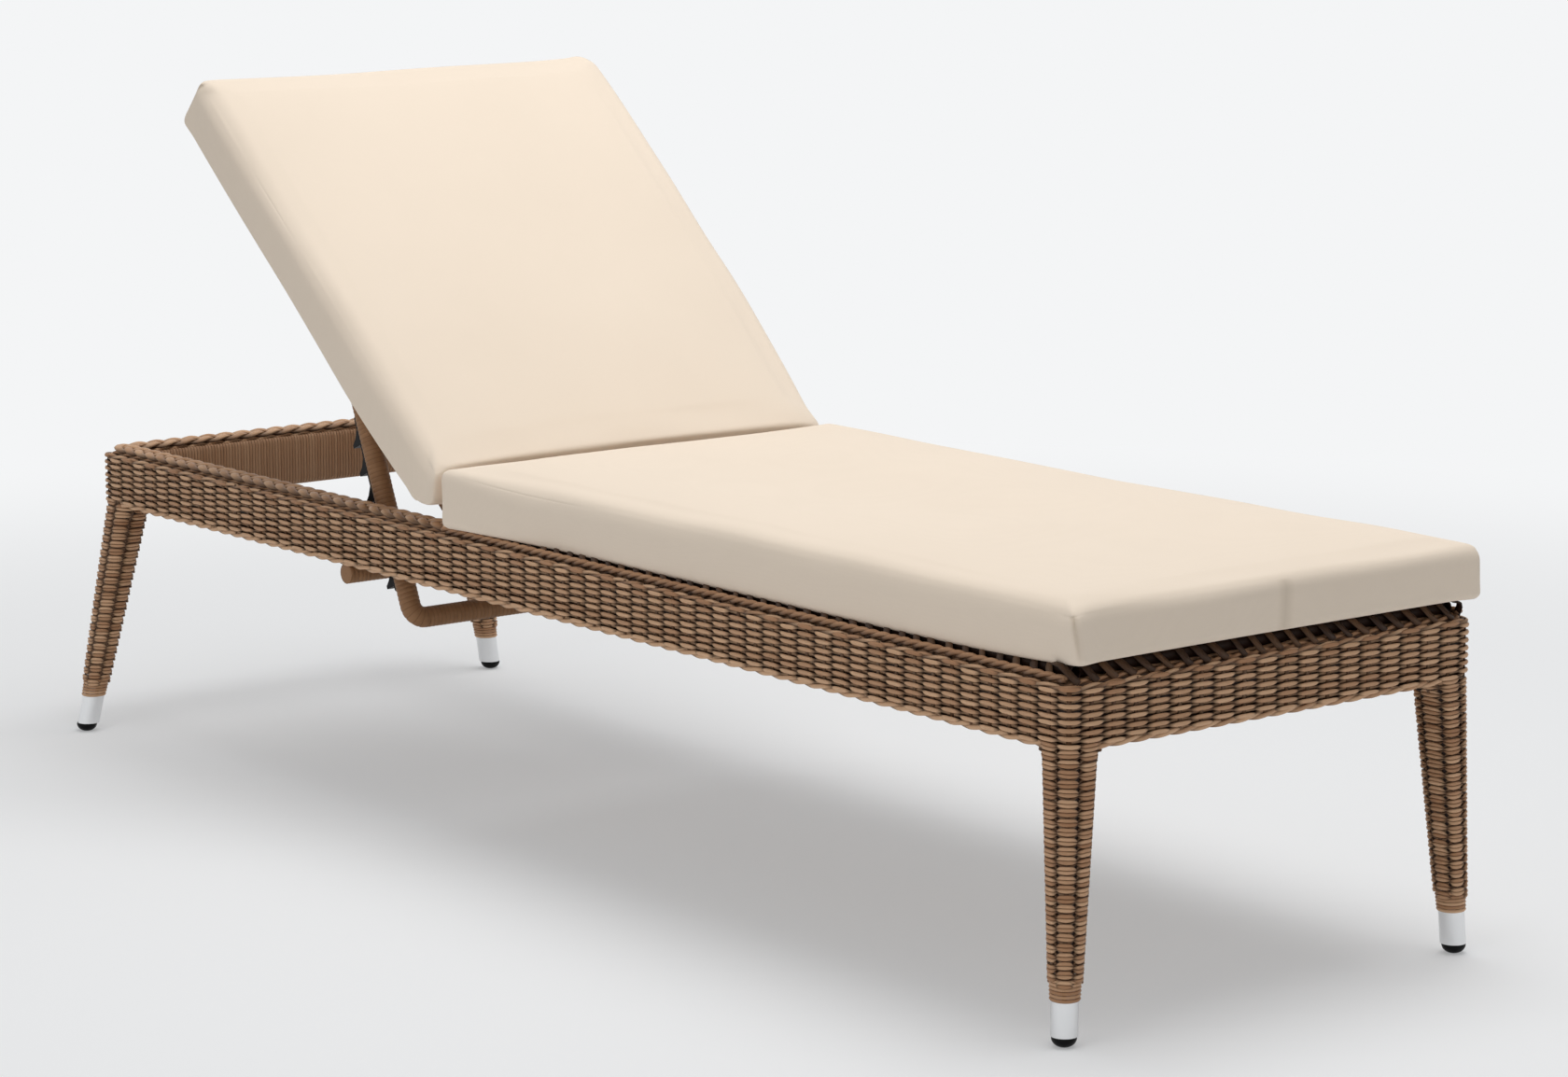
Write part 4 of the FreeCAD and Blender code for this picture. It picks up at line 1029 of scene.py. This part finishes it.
def soft_block(points, half, crown, bends, edges, soften, level_end):
    """A block's surface, softened into a box cushion.

    Its corners are rounded in plan, its edges are rounded, its sides are drawn in and its top is crowned.
    The near edge's radius grows from the low end's over the length soften. With level_end, the crown runs
    on level to the high end.
    """
    blend, band, least_band, rim, dome_width, tuck = 0.04, 0.06, 1e-6, 0.05, 0.05, 0.003
    half_plan, half_height = np.array(half[:2]), half[2]
    sign = np.sign(points)
    insets = half_plan - np.abs(points[:, :2])
    inset_x, inset_y = insets.T
    inset = np.minimum(inset_x, inset_y)
    beyond_x, beyond_y, top = points.T > 0

    near, far, low_end, high_end = edges
    end = np.where(beyond_x, high_end, low_end)
    near = low_end + (near - low_end) * clamped((half[0] + points[:, 0]) / soften)
    side = np.where(beyond_y, far, near)
    by_side = clamped(0.5 + (inset_x - inset_y) / blend)
    edge = np.where(top, end + (side - end) * by_side, sizes().base_edge)
    reach_out = clamped((edge - inset) / edge)
    reach_up = clamped((np.abs(points[:, 2]) - (half_height - edge)) / edge)
    span = np.hypot(reach_out, reach_up)
    scale = np.where(span > 0, np.maximum(reach_out, reach_up) / np.maximum(span, TINY), 1.0)
    new_inset = np.where(reach_out > 0, edge - reach_out * scale * edge, inset)
    up = np.where(reach_up > 0, half_height - edge + reach_up * scale * edge, np.abs(points[:, 2]))

    closer = (band - new_inset) / np.maximum(band - inset, least_band)
    drawn = new_inset[:, None] + (insets - inset[:, None]) * closer[:, None]
    drawn = np.where((insets < band) & (inset[:, None] < band), drawn, insets)
    ring = sign[:, :2] * (half_plan - drawn)
    bend = np.array(bends)[2 * beyond_x + beyond_y]
    turn = np.maximum(bend - new_inset, 0.0)[:, None]
    limit = half_plan - new_inset[:, None] - turn
    core = np.clip(ring, -limit, limit)
    away = ring - core
    length = np.linalg.norm(away, axis=1, keepdims=True)
    plan = core + away / np.maximum(length, TINY) * np.where(length > TINY, turn, 0.0)
    new = np.column_stack([plan, sign[:, 2] * up])

    drawn_in = tuck * clamped(1 - new_inset / rim)
    new[:, 0] -= sign[:, 0] * drawn_in * (inset_x < band) * (1 - (points[:, 1] / half[1]) ** 2)
    new[:, 1] -= sign[:, 1] * drawn_in * (inset_y < band) * (1 - (points[:, 0] / half[0]) ** 4)
    from_rim = np.where(level_end & beyond_x, np.maximum(new_inset, inset_y), new_inset)
    dome = 1 - np.exp(-np.clip(from_rim, 0.0, None) / dome_width)
    new[:, 2] += np.where(top, crown * dome, 0.0)
    return new


def eased(values, quads, rounds):
    """Values at the points of a mesh, evened out with those of their neighbours."""
    pairs = np.concatenate([quads[:, [corner, (corner + 1) % 4]] for corner in range(4)])
    ways = np.bincount(pairs.ravel(), minlength=len(values))[:, None]
    for _ in range(rounds):
        total = np.zeros_like(values)
        np.add.at(total, pairs[:, 0], values[pairs[:, 1]])
        np.add.at(total, pairs[:, 1], values[pairs[:, 0]])
        values = (values + total / ways) / 2
    return values


def filled(points, quads):
    """The cover blown out by its filling in a cloth simulation, with its movement capped and evened out."""
    steps, evening = 20, 24
    mesh = bpy.data.meshes.new("cover")
    mesh.from_pydata(points.tolist(), [], quads.tolist())
    cover = bpy.data.objects.new("cover", mesh)
    bpy.context.scene.collection.objects.link(cover)
    cloth = cover.modifiers.new("filling", "CLOTH")
    cloth.settings.use_pressure = True
    cloth.settings.uniform_pressure_force = 4.0
    cloth.settings.effector_weights.gravity = 0.0
    cloth.settings.quality = 4
    cloth.point_cache.frame_start = 1
    cloth.point_cache.frame_end = steps
    for step in range(1, steps + 1):
        bpy.context.scene.frame_set(step)
    solved = cover.evaluated_get(bpy.context.evaluated_depsgraph_get())
    moved = np.empty(len(points) * 3, np.float32)
    solved.data.vertices.foreach_get("co", moved)
    bpy.context.scene.frame_set(1)
    bpy.data.objects.remove(cover)
    bpy.data.meshes.remove(mesh)
    move = moved.reshape(-1, 3) - points
    move -= move.mean(axis=0)
    reach = np.linalg.norm(move, axis=1, keepdims=True)
    move *= np.minimum(1.0, sizes().cushion_swell / np.maximum(reach, TINY))
    return points + eased(move, quads, evening)


def sewn_cushion(name, half, crown, bends, edges, soften, level_end, seams, shape):
    """A filled box cushion about its own middle: grid, rounding, filling, seams, then its final shape."""
    fine, evening, waviness = 0.0040, 70, 0.0011
    darkest_depth, darkest_seam_shade = 0.001, 0.7
    grading = zip(half, (0.048, 0.048, 0.020), (0.013, 0.013, 0.008))
    flat, quads = block_grid([graded(extent, edge, fine, coarse) for extent, edge, coarse in grading])
    points = filled(soft_block(flat, half, crown, bends, edges, soften, level_end), quads)
    points[:, 2] = np.maximum(points[:, 2], -half[2])
    inward = unit(-np.sign(flat) * np.isclose(np.abs(flat), half) + TINY)
    uneven = eased(np.random.default_rng(len(name)).normal(size=(len(flat), 1)), quads, evening)
    points = points + inward * uneven * (waviness / uneven.std()) * (flat[:, 2:] > -half[2])
    # Painted shade: the seam mark darkens the cloth the deeper a seam or dart sinks the cover
    seam = np.zeros(len(flat))
    for depth in seams:
        sunk = depth(flat, half)
        points = points + inward * sunk[:, None]
        seam = np.maximum(seam, np.clip(sunk / darkest_depth, 0.0, darkest_seam_shade))
    piece = mesh_piece(name, shape(points), quads, "cream_cloth", None,
                       [name.removesuffix("_cover")], {"seam": seam})
    rounding = piece.modifiers.new("rounding", "SUBSURF")
    rounding.levels = rounding.render_levels = 1
    return piece


def height_share(points, half):
    """Nought at a cushion's base and one at its top."""
    return clamped((points[:, 2] + half[2]) / (2 * half[2]))


def overhang(points):
    """One where a cushion hangs out past the tubes that carry it, nought over them."""
    carried, fade = 0.272, 0.03
    return clamped((np.abs(points[:, 1]) - carried) / fade)


def near_high_end(points, half, fade):
    """One at a cushion's high end in X, falling off over a length."""
    return np.exp(np.minimum(points[:, 0] - half[0], 0.0) / fade)


def corner_darts(end, depth, width):
    """Depth of the darts down the two corners of a cushion's end, 1 or -1 in X, deepest at the top."""

    def sunk(flat, half):
        corner = np.hypot(flat[:, 0] - end * half[0], np.abs(flat[:, 1]) - half[1])
        return depth * np.exp(-(corner / width) ** 2) * height_share(flat, half)

    return sunk


def seat_cushion_cover():
    """Seat cushion: a box cushion with darts at its foot corners and a seam down its foot face."""
    size = sizes()
    longer, wider, thinner = 0.003, 0.004, 0.0025
    low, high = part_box("seat_cushion")
    half = ((high.x - low.x) / 2 + longer, (high.y - low.y) / 2 + wider, (high.z - low.z) / 2 - thinner)
    middle = np.array(((low.x + high.x) / 2, 0.0, low.z + half[2]))

    def end_seam(flat, half):
        place, depth, width = 0.51, 0.0006, 0.006
        away = np.abs((flat[:, 1] + half[1]) / (2 * half[1]) - place) * 2 * half[1]
        return np.where(np.isclose(flat[:, 0], half[0]), depth * np.exp(-(away / width) ** 2), 0.0)

    def shape(points):
        side_start, side_fade, lean_length, far_drawn, foot_fade = 0.20, 0.10, 0.22, 0.005, 0.12
        below = 1 - height_share(points, half)
        hanging = overhang(points) * below * (1 - near_high_end(points, half, foot_fade))
        leaning = clamped((points[:, 0] + half[0]) / lean_length) * below
        near, far = (clamped((sign * points[:, 1] - side_start) / side_fade) for sign in (-1, 1))
        hung = points.copy()
        hung[:, 1] += size.base_tuck * leaning * near + far_drawn * far
        hung[:, 2] -= size.seat_droop * hanging
        return hung + middle

    darts = corner_darts(end=1, depth=0.0026, width=0.005)
    cover = sewn_cushion("seat_cushion_cover", half, size.seat_crown, size.seat_bends, size.seat_edges,
                         soften=0.18, level_end=False, seams=(darts, end_seam), shape=shape)
    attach(cover, "frame")


def back_cushion_cover():
    """Back cushion: its lower end stands upright against the seat cushion and rounds under at the rear."""
    size = sizes()
    longer, wider, thinner = 0.002, 0.003, 0.0025
    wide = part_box("back_cushion")[1].y
    half = (size.back_cushion_length / 2 + longer, wide + wider, size.back_cushion_thickness / 2 - thinner)
    middle = np.array((-size.back_cushion_start - half[0], 0.0, size.back_cushion_height + half[2]))
    slope = math.tan(REST_TILT)

    def shape(points):
        knee, knee_curve, knee_slope, end_length, end_power = 0.034, 32.0, 0.6, 0.14, 1.5
        fall_length, droop_place, droop_width = 0.16, 0.24, 0.17
        height = points[:, 2] + half[2]
        upright = slope * np.clip(2 * half[2] - height, 0.0, None)
        heel = np.clip(knee - height, 0.0, None)
        under = upright - knee_curve * heel ** 2 - knee_slope * heel
        near_end = clamped((points[:, 0] - (half[0] - end_length)) / end_length) ** end_power
        upwards = 0.5 - points[:, 0] / (2 * half[0])
        bow = 1 - (2 * clamped(upwards) - 1) ** 4
        bowed = np.where(points[:, 1] < 0, *size.back_fullness) * bow
        top = height_share(points, half)
        drooping = overhang(points) * (1 - top) * np.exp(-((upwards - droop_place) / droop_width) ** 2)
        bent = points.copy()
        bent[:, 0] += near_end * (under + size.back_press * height / (2 * half[2]))
        bent[:, 0] -= size.back_skew * (0.5 + points[:, 1] / (2 * wide)) * upwards
        bent[:, 1] += (size.back_spread * upwards + bowed) * points[:, 1] / wide
        bent[:, 2] -= size.back_fall * top * near_high_end(points, half, fall_length)
        bent[:, 2] -= size.back_droop * drooping
        return back_place(bent + middle)

    darts = corner_darts(end=-1, depth=0.0025, width=0.006)
    cover = sewn_cushion("back_cushion_cover", half, size.back_crown, size.back_bends, size.back_edges,
                         soften=0.001, level_end=True, seams=(darts,), shape=shape)
    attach(cover, "backrest")


def glide_dome(corner):
    """Moulded floor glide: a flat foot, a rounded side and a shoulder under the tube."""
    size = sizes()
    low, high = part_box(f"glide_{corner}")
    middle = box_middle(f"glide_{corner}")
    radius = (high.x - low.x) / 2
    tip, tip_rise, foot_edge, shoulder, shoulder_drop = 0.0006, 0.0004, 0.0008, 0.0006, 0.0015
    stem_base, stem, stem_end, stem_bevel = 0.0074, 0.0070, 0.0062, 0.0008
    dome_height = size.glide_height - shoulder_drop
    arc = [(radius - size.glide_round * (1 - math.sin(a)), dome_height * (1 - math.cos(a)))
           for a in np.linspace(0.0, math.pi / 2, 11)]
    profile = [(tip, tip_rise), (radius - size.glide_round - foot_edge, 0.0)] + arc + [
        (radius - shoulder, size.glide_height), (stem_base, size.glide_height),
        (stem, high.z - stem_bevel), (stem_end, high.z), (tip, high.z)]
    count = 40
    step = np.arange(count)
    beside = (step + 1) % count
    angles = 2 * math.pi * step / count
    around = np.column_stack([np.cos(angles), np.sin(angles)])
    rings = [at_height(around * r + middle.xy, low.z + z) for r, z in profile]
    quads = [joined_quads(here + step, here + count + step, here + beside, here + count + beside)
             for here in range(0, count * (len(profile) - 1), count)]
    mesh_piece(f"glide_{corner}_moulding", np.concatenate(rings), np.concatenate(quads), "moulded_black",
               "frame", [f"glide_{corner}"])


FITTINGS = {
    "rail_tube_": "tube_coat",
    "seat_edge_tube_": "tube_coat",
    "seat_cross_tube_": "tube_coat",
    "leg_tube_": "satin_aluminium",
    "hinge_bracket_": "tube_coat",
    "prop_clevis_": "tube_coat",
    "hinge_pin_": "turned_steel",
    "prop_pivot_pin_": "turned_steel",
    "hinge_bush_": "moulded_black",
    "prop_rack_": "moulded_black",
}


def finish_fittings():
    """Gives the tubes, plates, pins and mouldings that stay as they are their finishes."""
    for name, node in frame["nodes"].items():
        for start, material in FITTINGS.items():
            if name.startswith(start):
                node.data.materials.clear()
                node.data.materials.append(finish(material))


def seen_directly(root):
    """One for what the camera, a gloss or a clear body shows, nought for light on its way."""
    path = root.node("ShaderNodeLightPath")
    ways = [path.beside(name) for name in ("Is Camera Ray", "Is Glossy Ray", "Is Transmission Ray")]
    return (ways[0] + ways[1] + ways[2]).clamped()


def studio_floor():
    """A pale floor that fades into a plain even backdrop away from the lounger."""
    reach = 40.0
    corners = [(-reach, -reach, 0), (reach, -reach, 0), (reach, reach, 0), (-reach, reach, 0)]
    mesh = bpy.data.meshes.new("studio_floor")
    mesh.from_pydata(corners, [], [(0, 1, 2, 3)])
    material, root = new_material("studio_floor")
    place = object_place(root)
    cloud = noise(root, place, 0.8)
    tint = colours().floor
    near = root.node("ShaderNodeBsdfPrincipled", None, {
        "Base Color": mixed(root, cloud * 0.25, tint, [part * 0.97 for part in tint]),
        "Roughness": cloud * 0.1 + 0.8,
        "Specular IOR Level": 0.1,
    })
    far = root.node("ShaderNodeEmission", None, {"Color": tint, "Strength": 1.0})
    away = root.node("ShaderNodeVectorMath", {"operation": "LENGTH"}, {0: place}, "Value")
    fade = root.node("ShaderNodeMapRange", {"interpolation_type": "SMOOTHSTEP"},
                     {"Value": away, "From Min": 1.1, "From Max": 3.2, "To Min": 0.3, "To Max": 1.0})
    both = root.node("ShaderNodeMixShader", None, {0: fade * seen_directly(root), 1: near, 2: far})
    root.node("ShaderNodeOutputMaterial", None, {"Surface": both})
    mesh.materials.append(material)
    floor = bpy.data.objects.new("studio_floor", mesh)
    bpy.context.scene.collection.objects.link(floor)


def studio_light(name, place, aim, width, height, watts):
    """A rectangular lamp at a place, turned towards its aim."""
    lamp = bpy.data.lights.new(name, "AREA")
    lamp.shape = "RECTANGLE"
    lamp.size, lamp.size_y = width, height
    lamp.energy = watts
    holder = bpy.data.objects.new(name, lamp)
    holder.location = place
    holder.rotation_euler = (Vector(aim) - Vector(place)).to_track_quat("-Z", "Y").to_euler()
    bpy.context.scene.collection.objects.link(holder)


def studio_world():
    """An even sky, dimmer as a light than it looks."""
    world = bpy.data.worlds.new("studio_world")
    bpy.context.scene.world = world
    world.use_nodes = True
    background = world.node_tree.nodes["Background"]
    root = Socket(world.node_tree)
    strength = seen_directly(root) * (1.0 - sizes().sky_level) + sizes().sky_level
    world.node_tree.links.new(strength.link, background.inputs["Strength"])
    background.inputs["Color"].default_value = (*colours().floor, 1.0)


def studio_camera():
    """The photograph's camera, fitted to the feet, rail corners and cushion corners."""
    camera = bpy.data.cameras.new("studio_camera")
    camera.sensor_fit = "HORIZONTAL"
    camera.sensor_width = 36.0
    camera.lens = 101.34
    holder = bpy.data.objects.new("studio_camera", camera)
    holder.location = (4.339, -3.337, 1.354)
    ahead = Vector((-0.7707, 0.6123, -0.1761))
    holder.rotation_euler = ahead.to_track_quat("-Z", "Y").to_euler()
    bpy.context.scene.collection.objects.link(holder)
    bpy.context.scene.camera = holder


class LOUNGER_OT_weave_rails(bpy.types.Operator):
    """Weaves the rails: rows and stakes, twisted borders, the braid round the head end and the lining."""

    bl_idname = "lounger.weave_rails"
    bl_label = "Weave rails"

    def execute(self, context):
        rail_weave_strands()
        rail_border_strands()
        head_braid_strands()
        rail_lining_strands()
        return {"FINISHED"}


class LOUNGER_OT_weave_legs(bpy.types.Operator):
    """Weaves the four legs."""

    bl_idname = "lounger.weave_legs"
    bl_label = "Weave legs"

    def execute(self, context):
        for corner in CORNERS:
            leg_weave_strands(corner)
        return {"FINISHED"}


class LOUNGER_OT_weave_decks(bpy.types.Operator):
    """Weaves the straps of the seat and the backrest and ties the seat's edge to the rails."""

    bl_idname = "lounger.weave_decks"
    bl_label = "Weave decks"

    def execute(self, context):
        seat_deck_strands()
        seat_edge_ties()
        back_deck_strands()
        return {"FINISHED"}


class LOUNGER_OT_wind_tubes(bpy.types.Operator):
    """Winds the tubes of the backrest, the prop and the catch bar."""

    bl_idname = "lounger.wind_tubes"
    bl_label = "Wind tubes"

    def execute(self, context):
        wound_back_tubes()
        wound_prop_tubes()
        return {"FINISHED"}


class LOUNGER_OT_sew_cushions(bpy.types.Operator):
    """Sews and fills the seat cushion and the back cushion."""

    bl_idname = "lounger.sew_cushions"
    bl_label = "Sew cushions"

    def execute(self, context):
        seat_cushion_cover()
        back_cushion_cover()
        return {"FINISHED"}


class LOUNGER_OT_fit_hardware(bpy.types.Operator):
    """Moulds the glides and finishes the tubes, brackets, pins and racks."""

    bl_idname = "lounger.fit_hardware"
    bl_label = "Fit hardware"

    def execute(self, context):
        for corner in CORNERS:
            glide_dome(corner)
        finish_fittings()
        return {"FINISHED"}


class LOUNGER_OT_set_stage(bpy.types.Operator):
    """Sets the floor, the lamps, the sky and the camera."""

    bl_idname = "lounger.set_stage"
    bl_label = "Set stage"

    def execute(self, context):
        studio_floor()
        studio_light("overhead_lamp", place=(0.3, 0.4, 3.8), aim=(0.0, 0.0, 0.3),
                     width=2.8, height=2.4, watts=84.0)
        studio_light("side_lamp", place=(1.0, -4.9, 2.8), aim=(0.0, 0.0, 0.4),
                     width=3.0, height=2.0, watts=24.0)
        studio_world()
        studio_camera()
        context.scene.view_settings.view_transform = "Standard"
        return {"FINISHED"}


OPERATORS = (
    LOUNGER_OT_set_stage, LOUNGER_OT_weave_rails, LOUNGER_OT_weave_legs, LOUNGER_OT_weave_decks,
    LOUNGER_OT_wind_tubes, LOUNGER_OT_sew_cushions, LOUNGER_OT_fit_hardware,
)


class LOUNGER_PT_panel(bpy.types.Panel):
    """Lists the steps that dress the lounger and the sizes and colours that they use."""

    bl_idname = "LOUNGER_PT_panel"
    bl_label = "Woven sun lounger"
    bl_space_type = "VIEW_3D"
    bl_region_type = "UI"
    bl_category = "Lounger"

    def draw(self, context):
        for operator in OPERATORS:
            self.layout.operator(operator.bl_idname)
        for group in (context.scene.lounger_sizes, context.scene.lounger_colours):
            box = self.layout.box()
            for name in group.__annotations__:
                box.prop(group, name)


CLASSES = (LoungerSizes, LoungerColours, *OPERATORS, LOUNGER_PT_panel)


def register():
    for item in CLASSES:
        bpy.utils.register_class(item)
    bpy.types.Scene.lounger_sizes = PointerProperty(type=LoungerSizes)
    bpy.types.Scene.lounger_colours = PointerProperty(type=LoungerColours)


def unregister():
    del bpy.types.Scene.lounger_colours
    del bpy.types.Scene.lounger_sizes
    for item in reversed(CLASSES):
        bpy.utils.unregister_class(item)


def main():
    register()
    for operator in OPERATORS:
        group, name = operator.bl_idname.split(".")
        getattr(getattr(bpy.ops, group), name)()


if __name__ == "__main__":
    main()
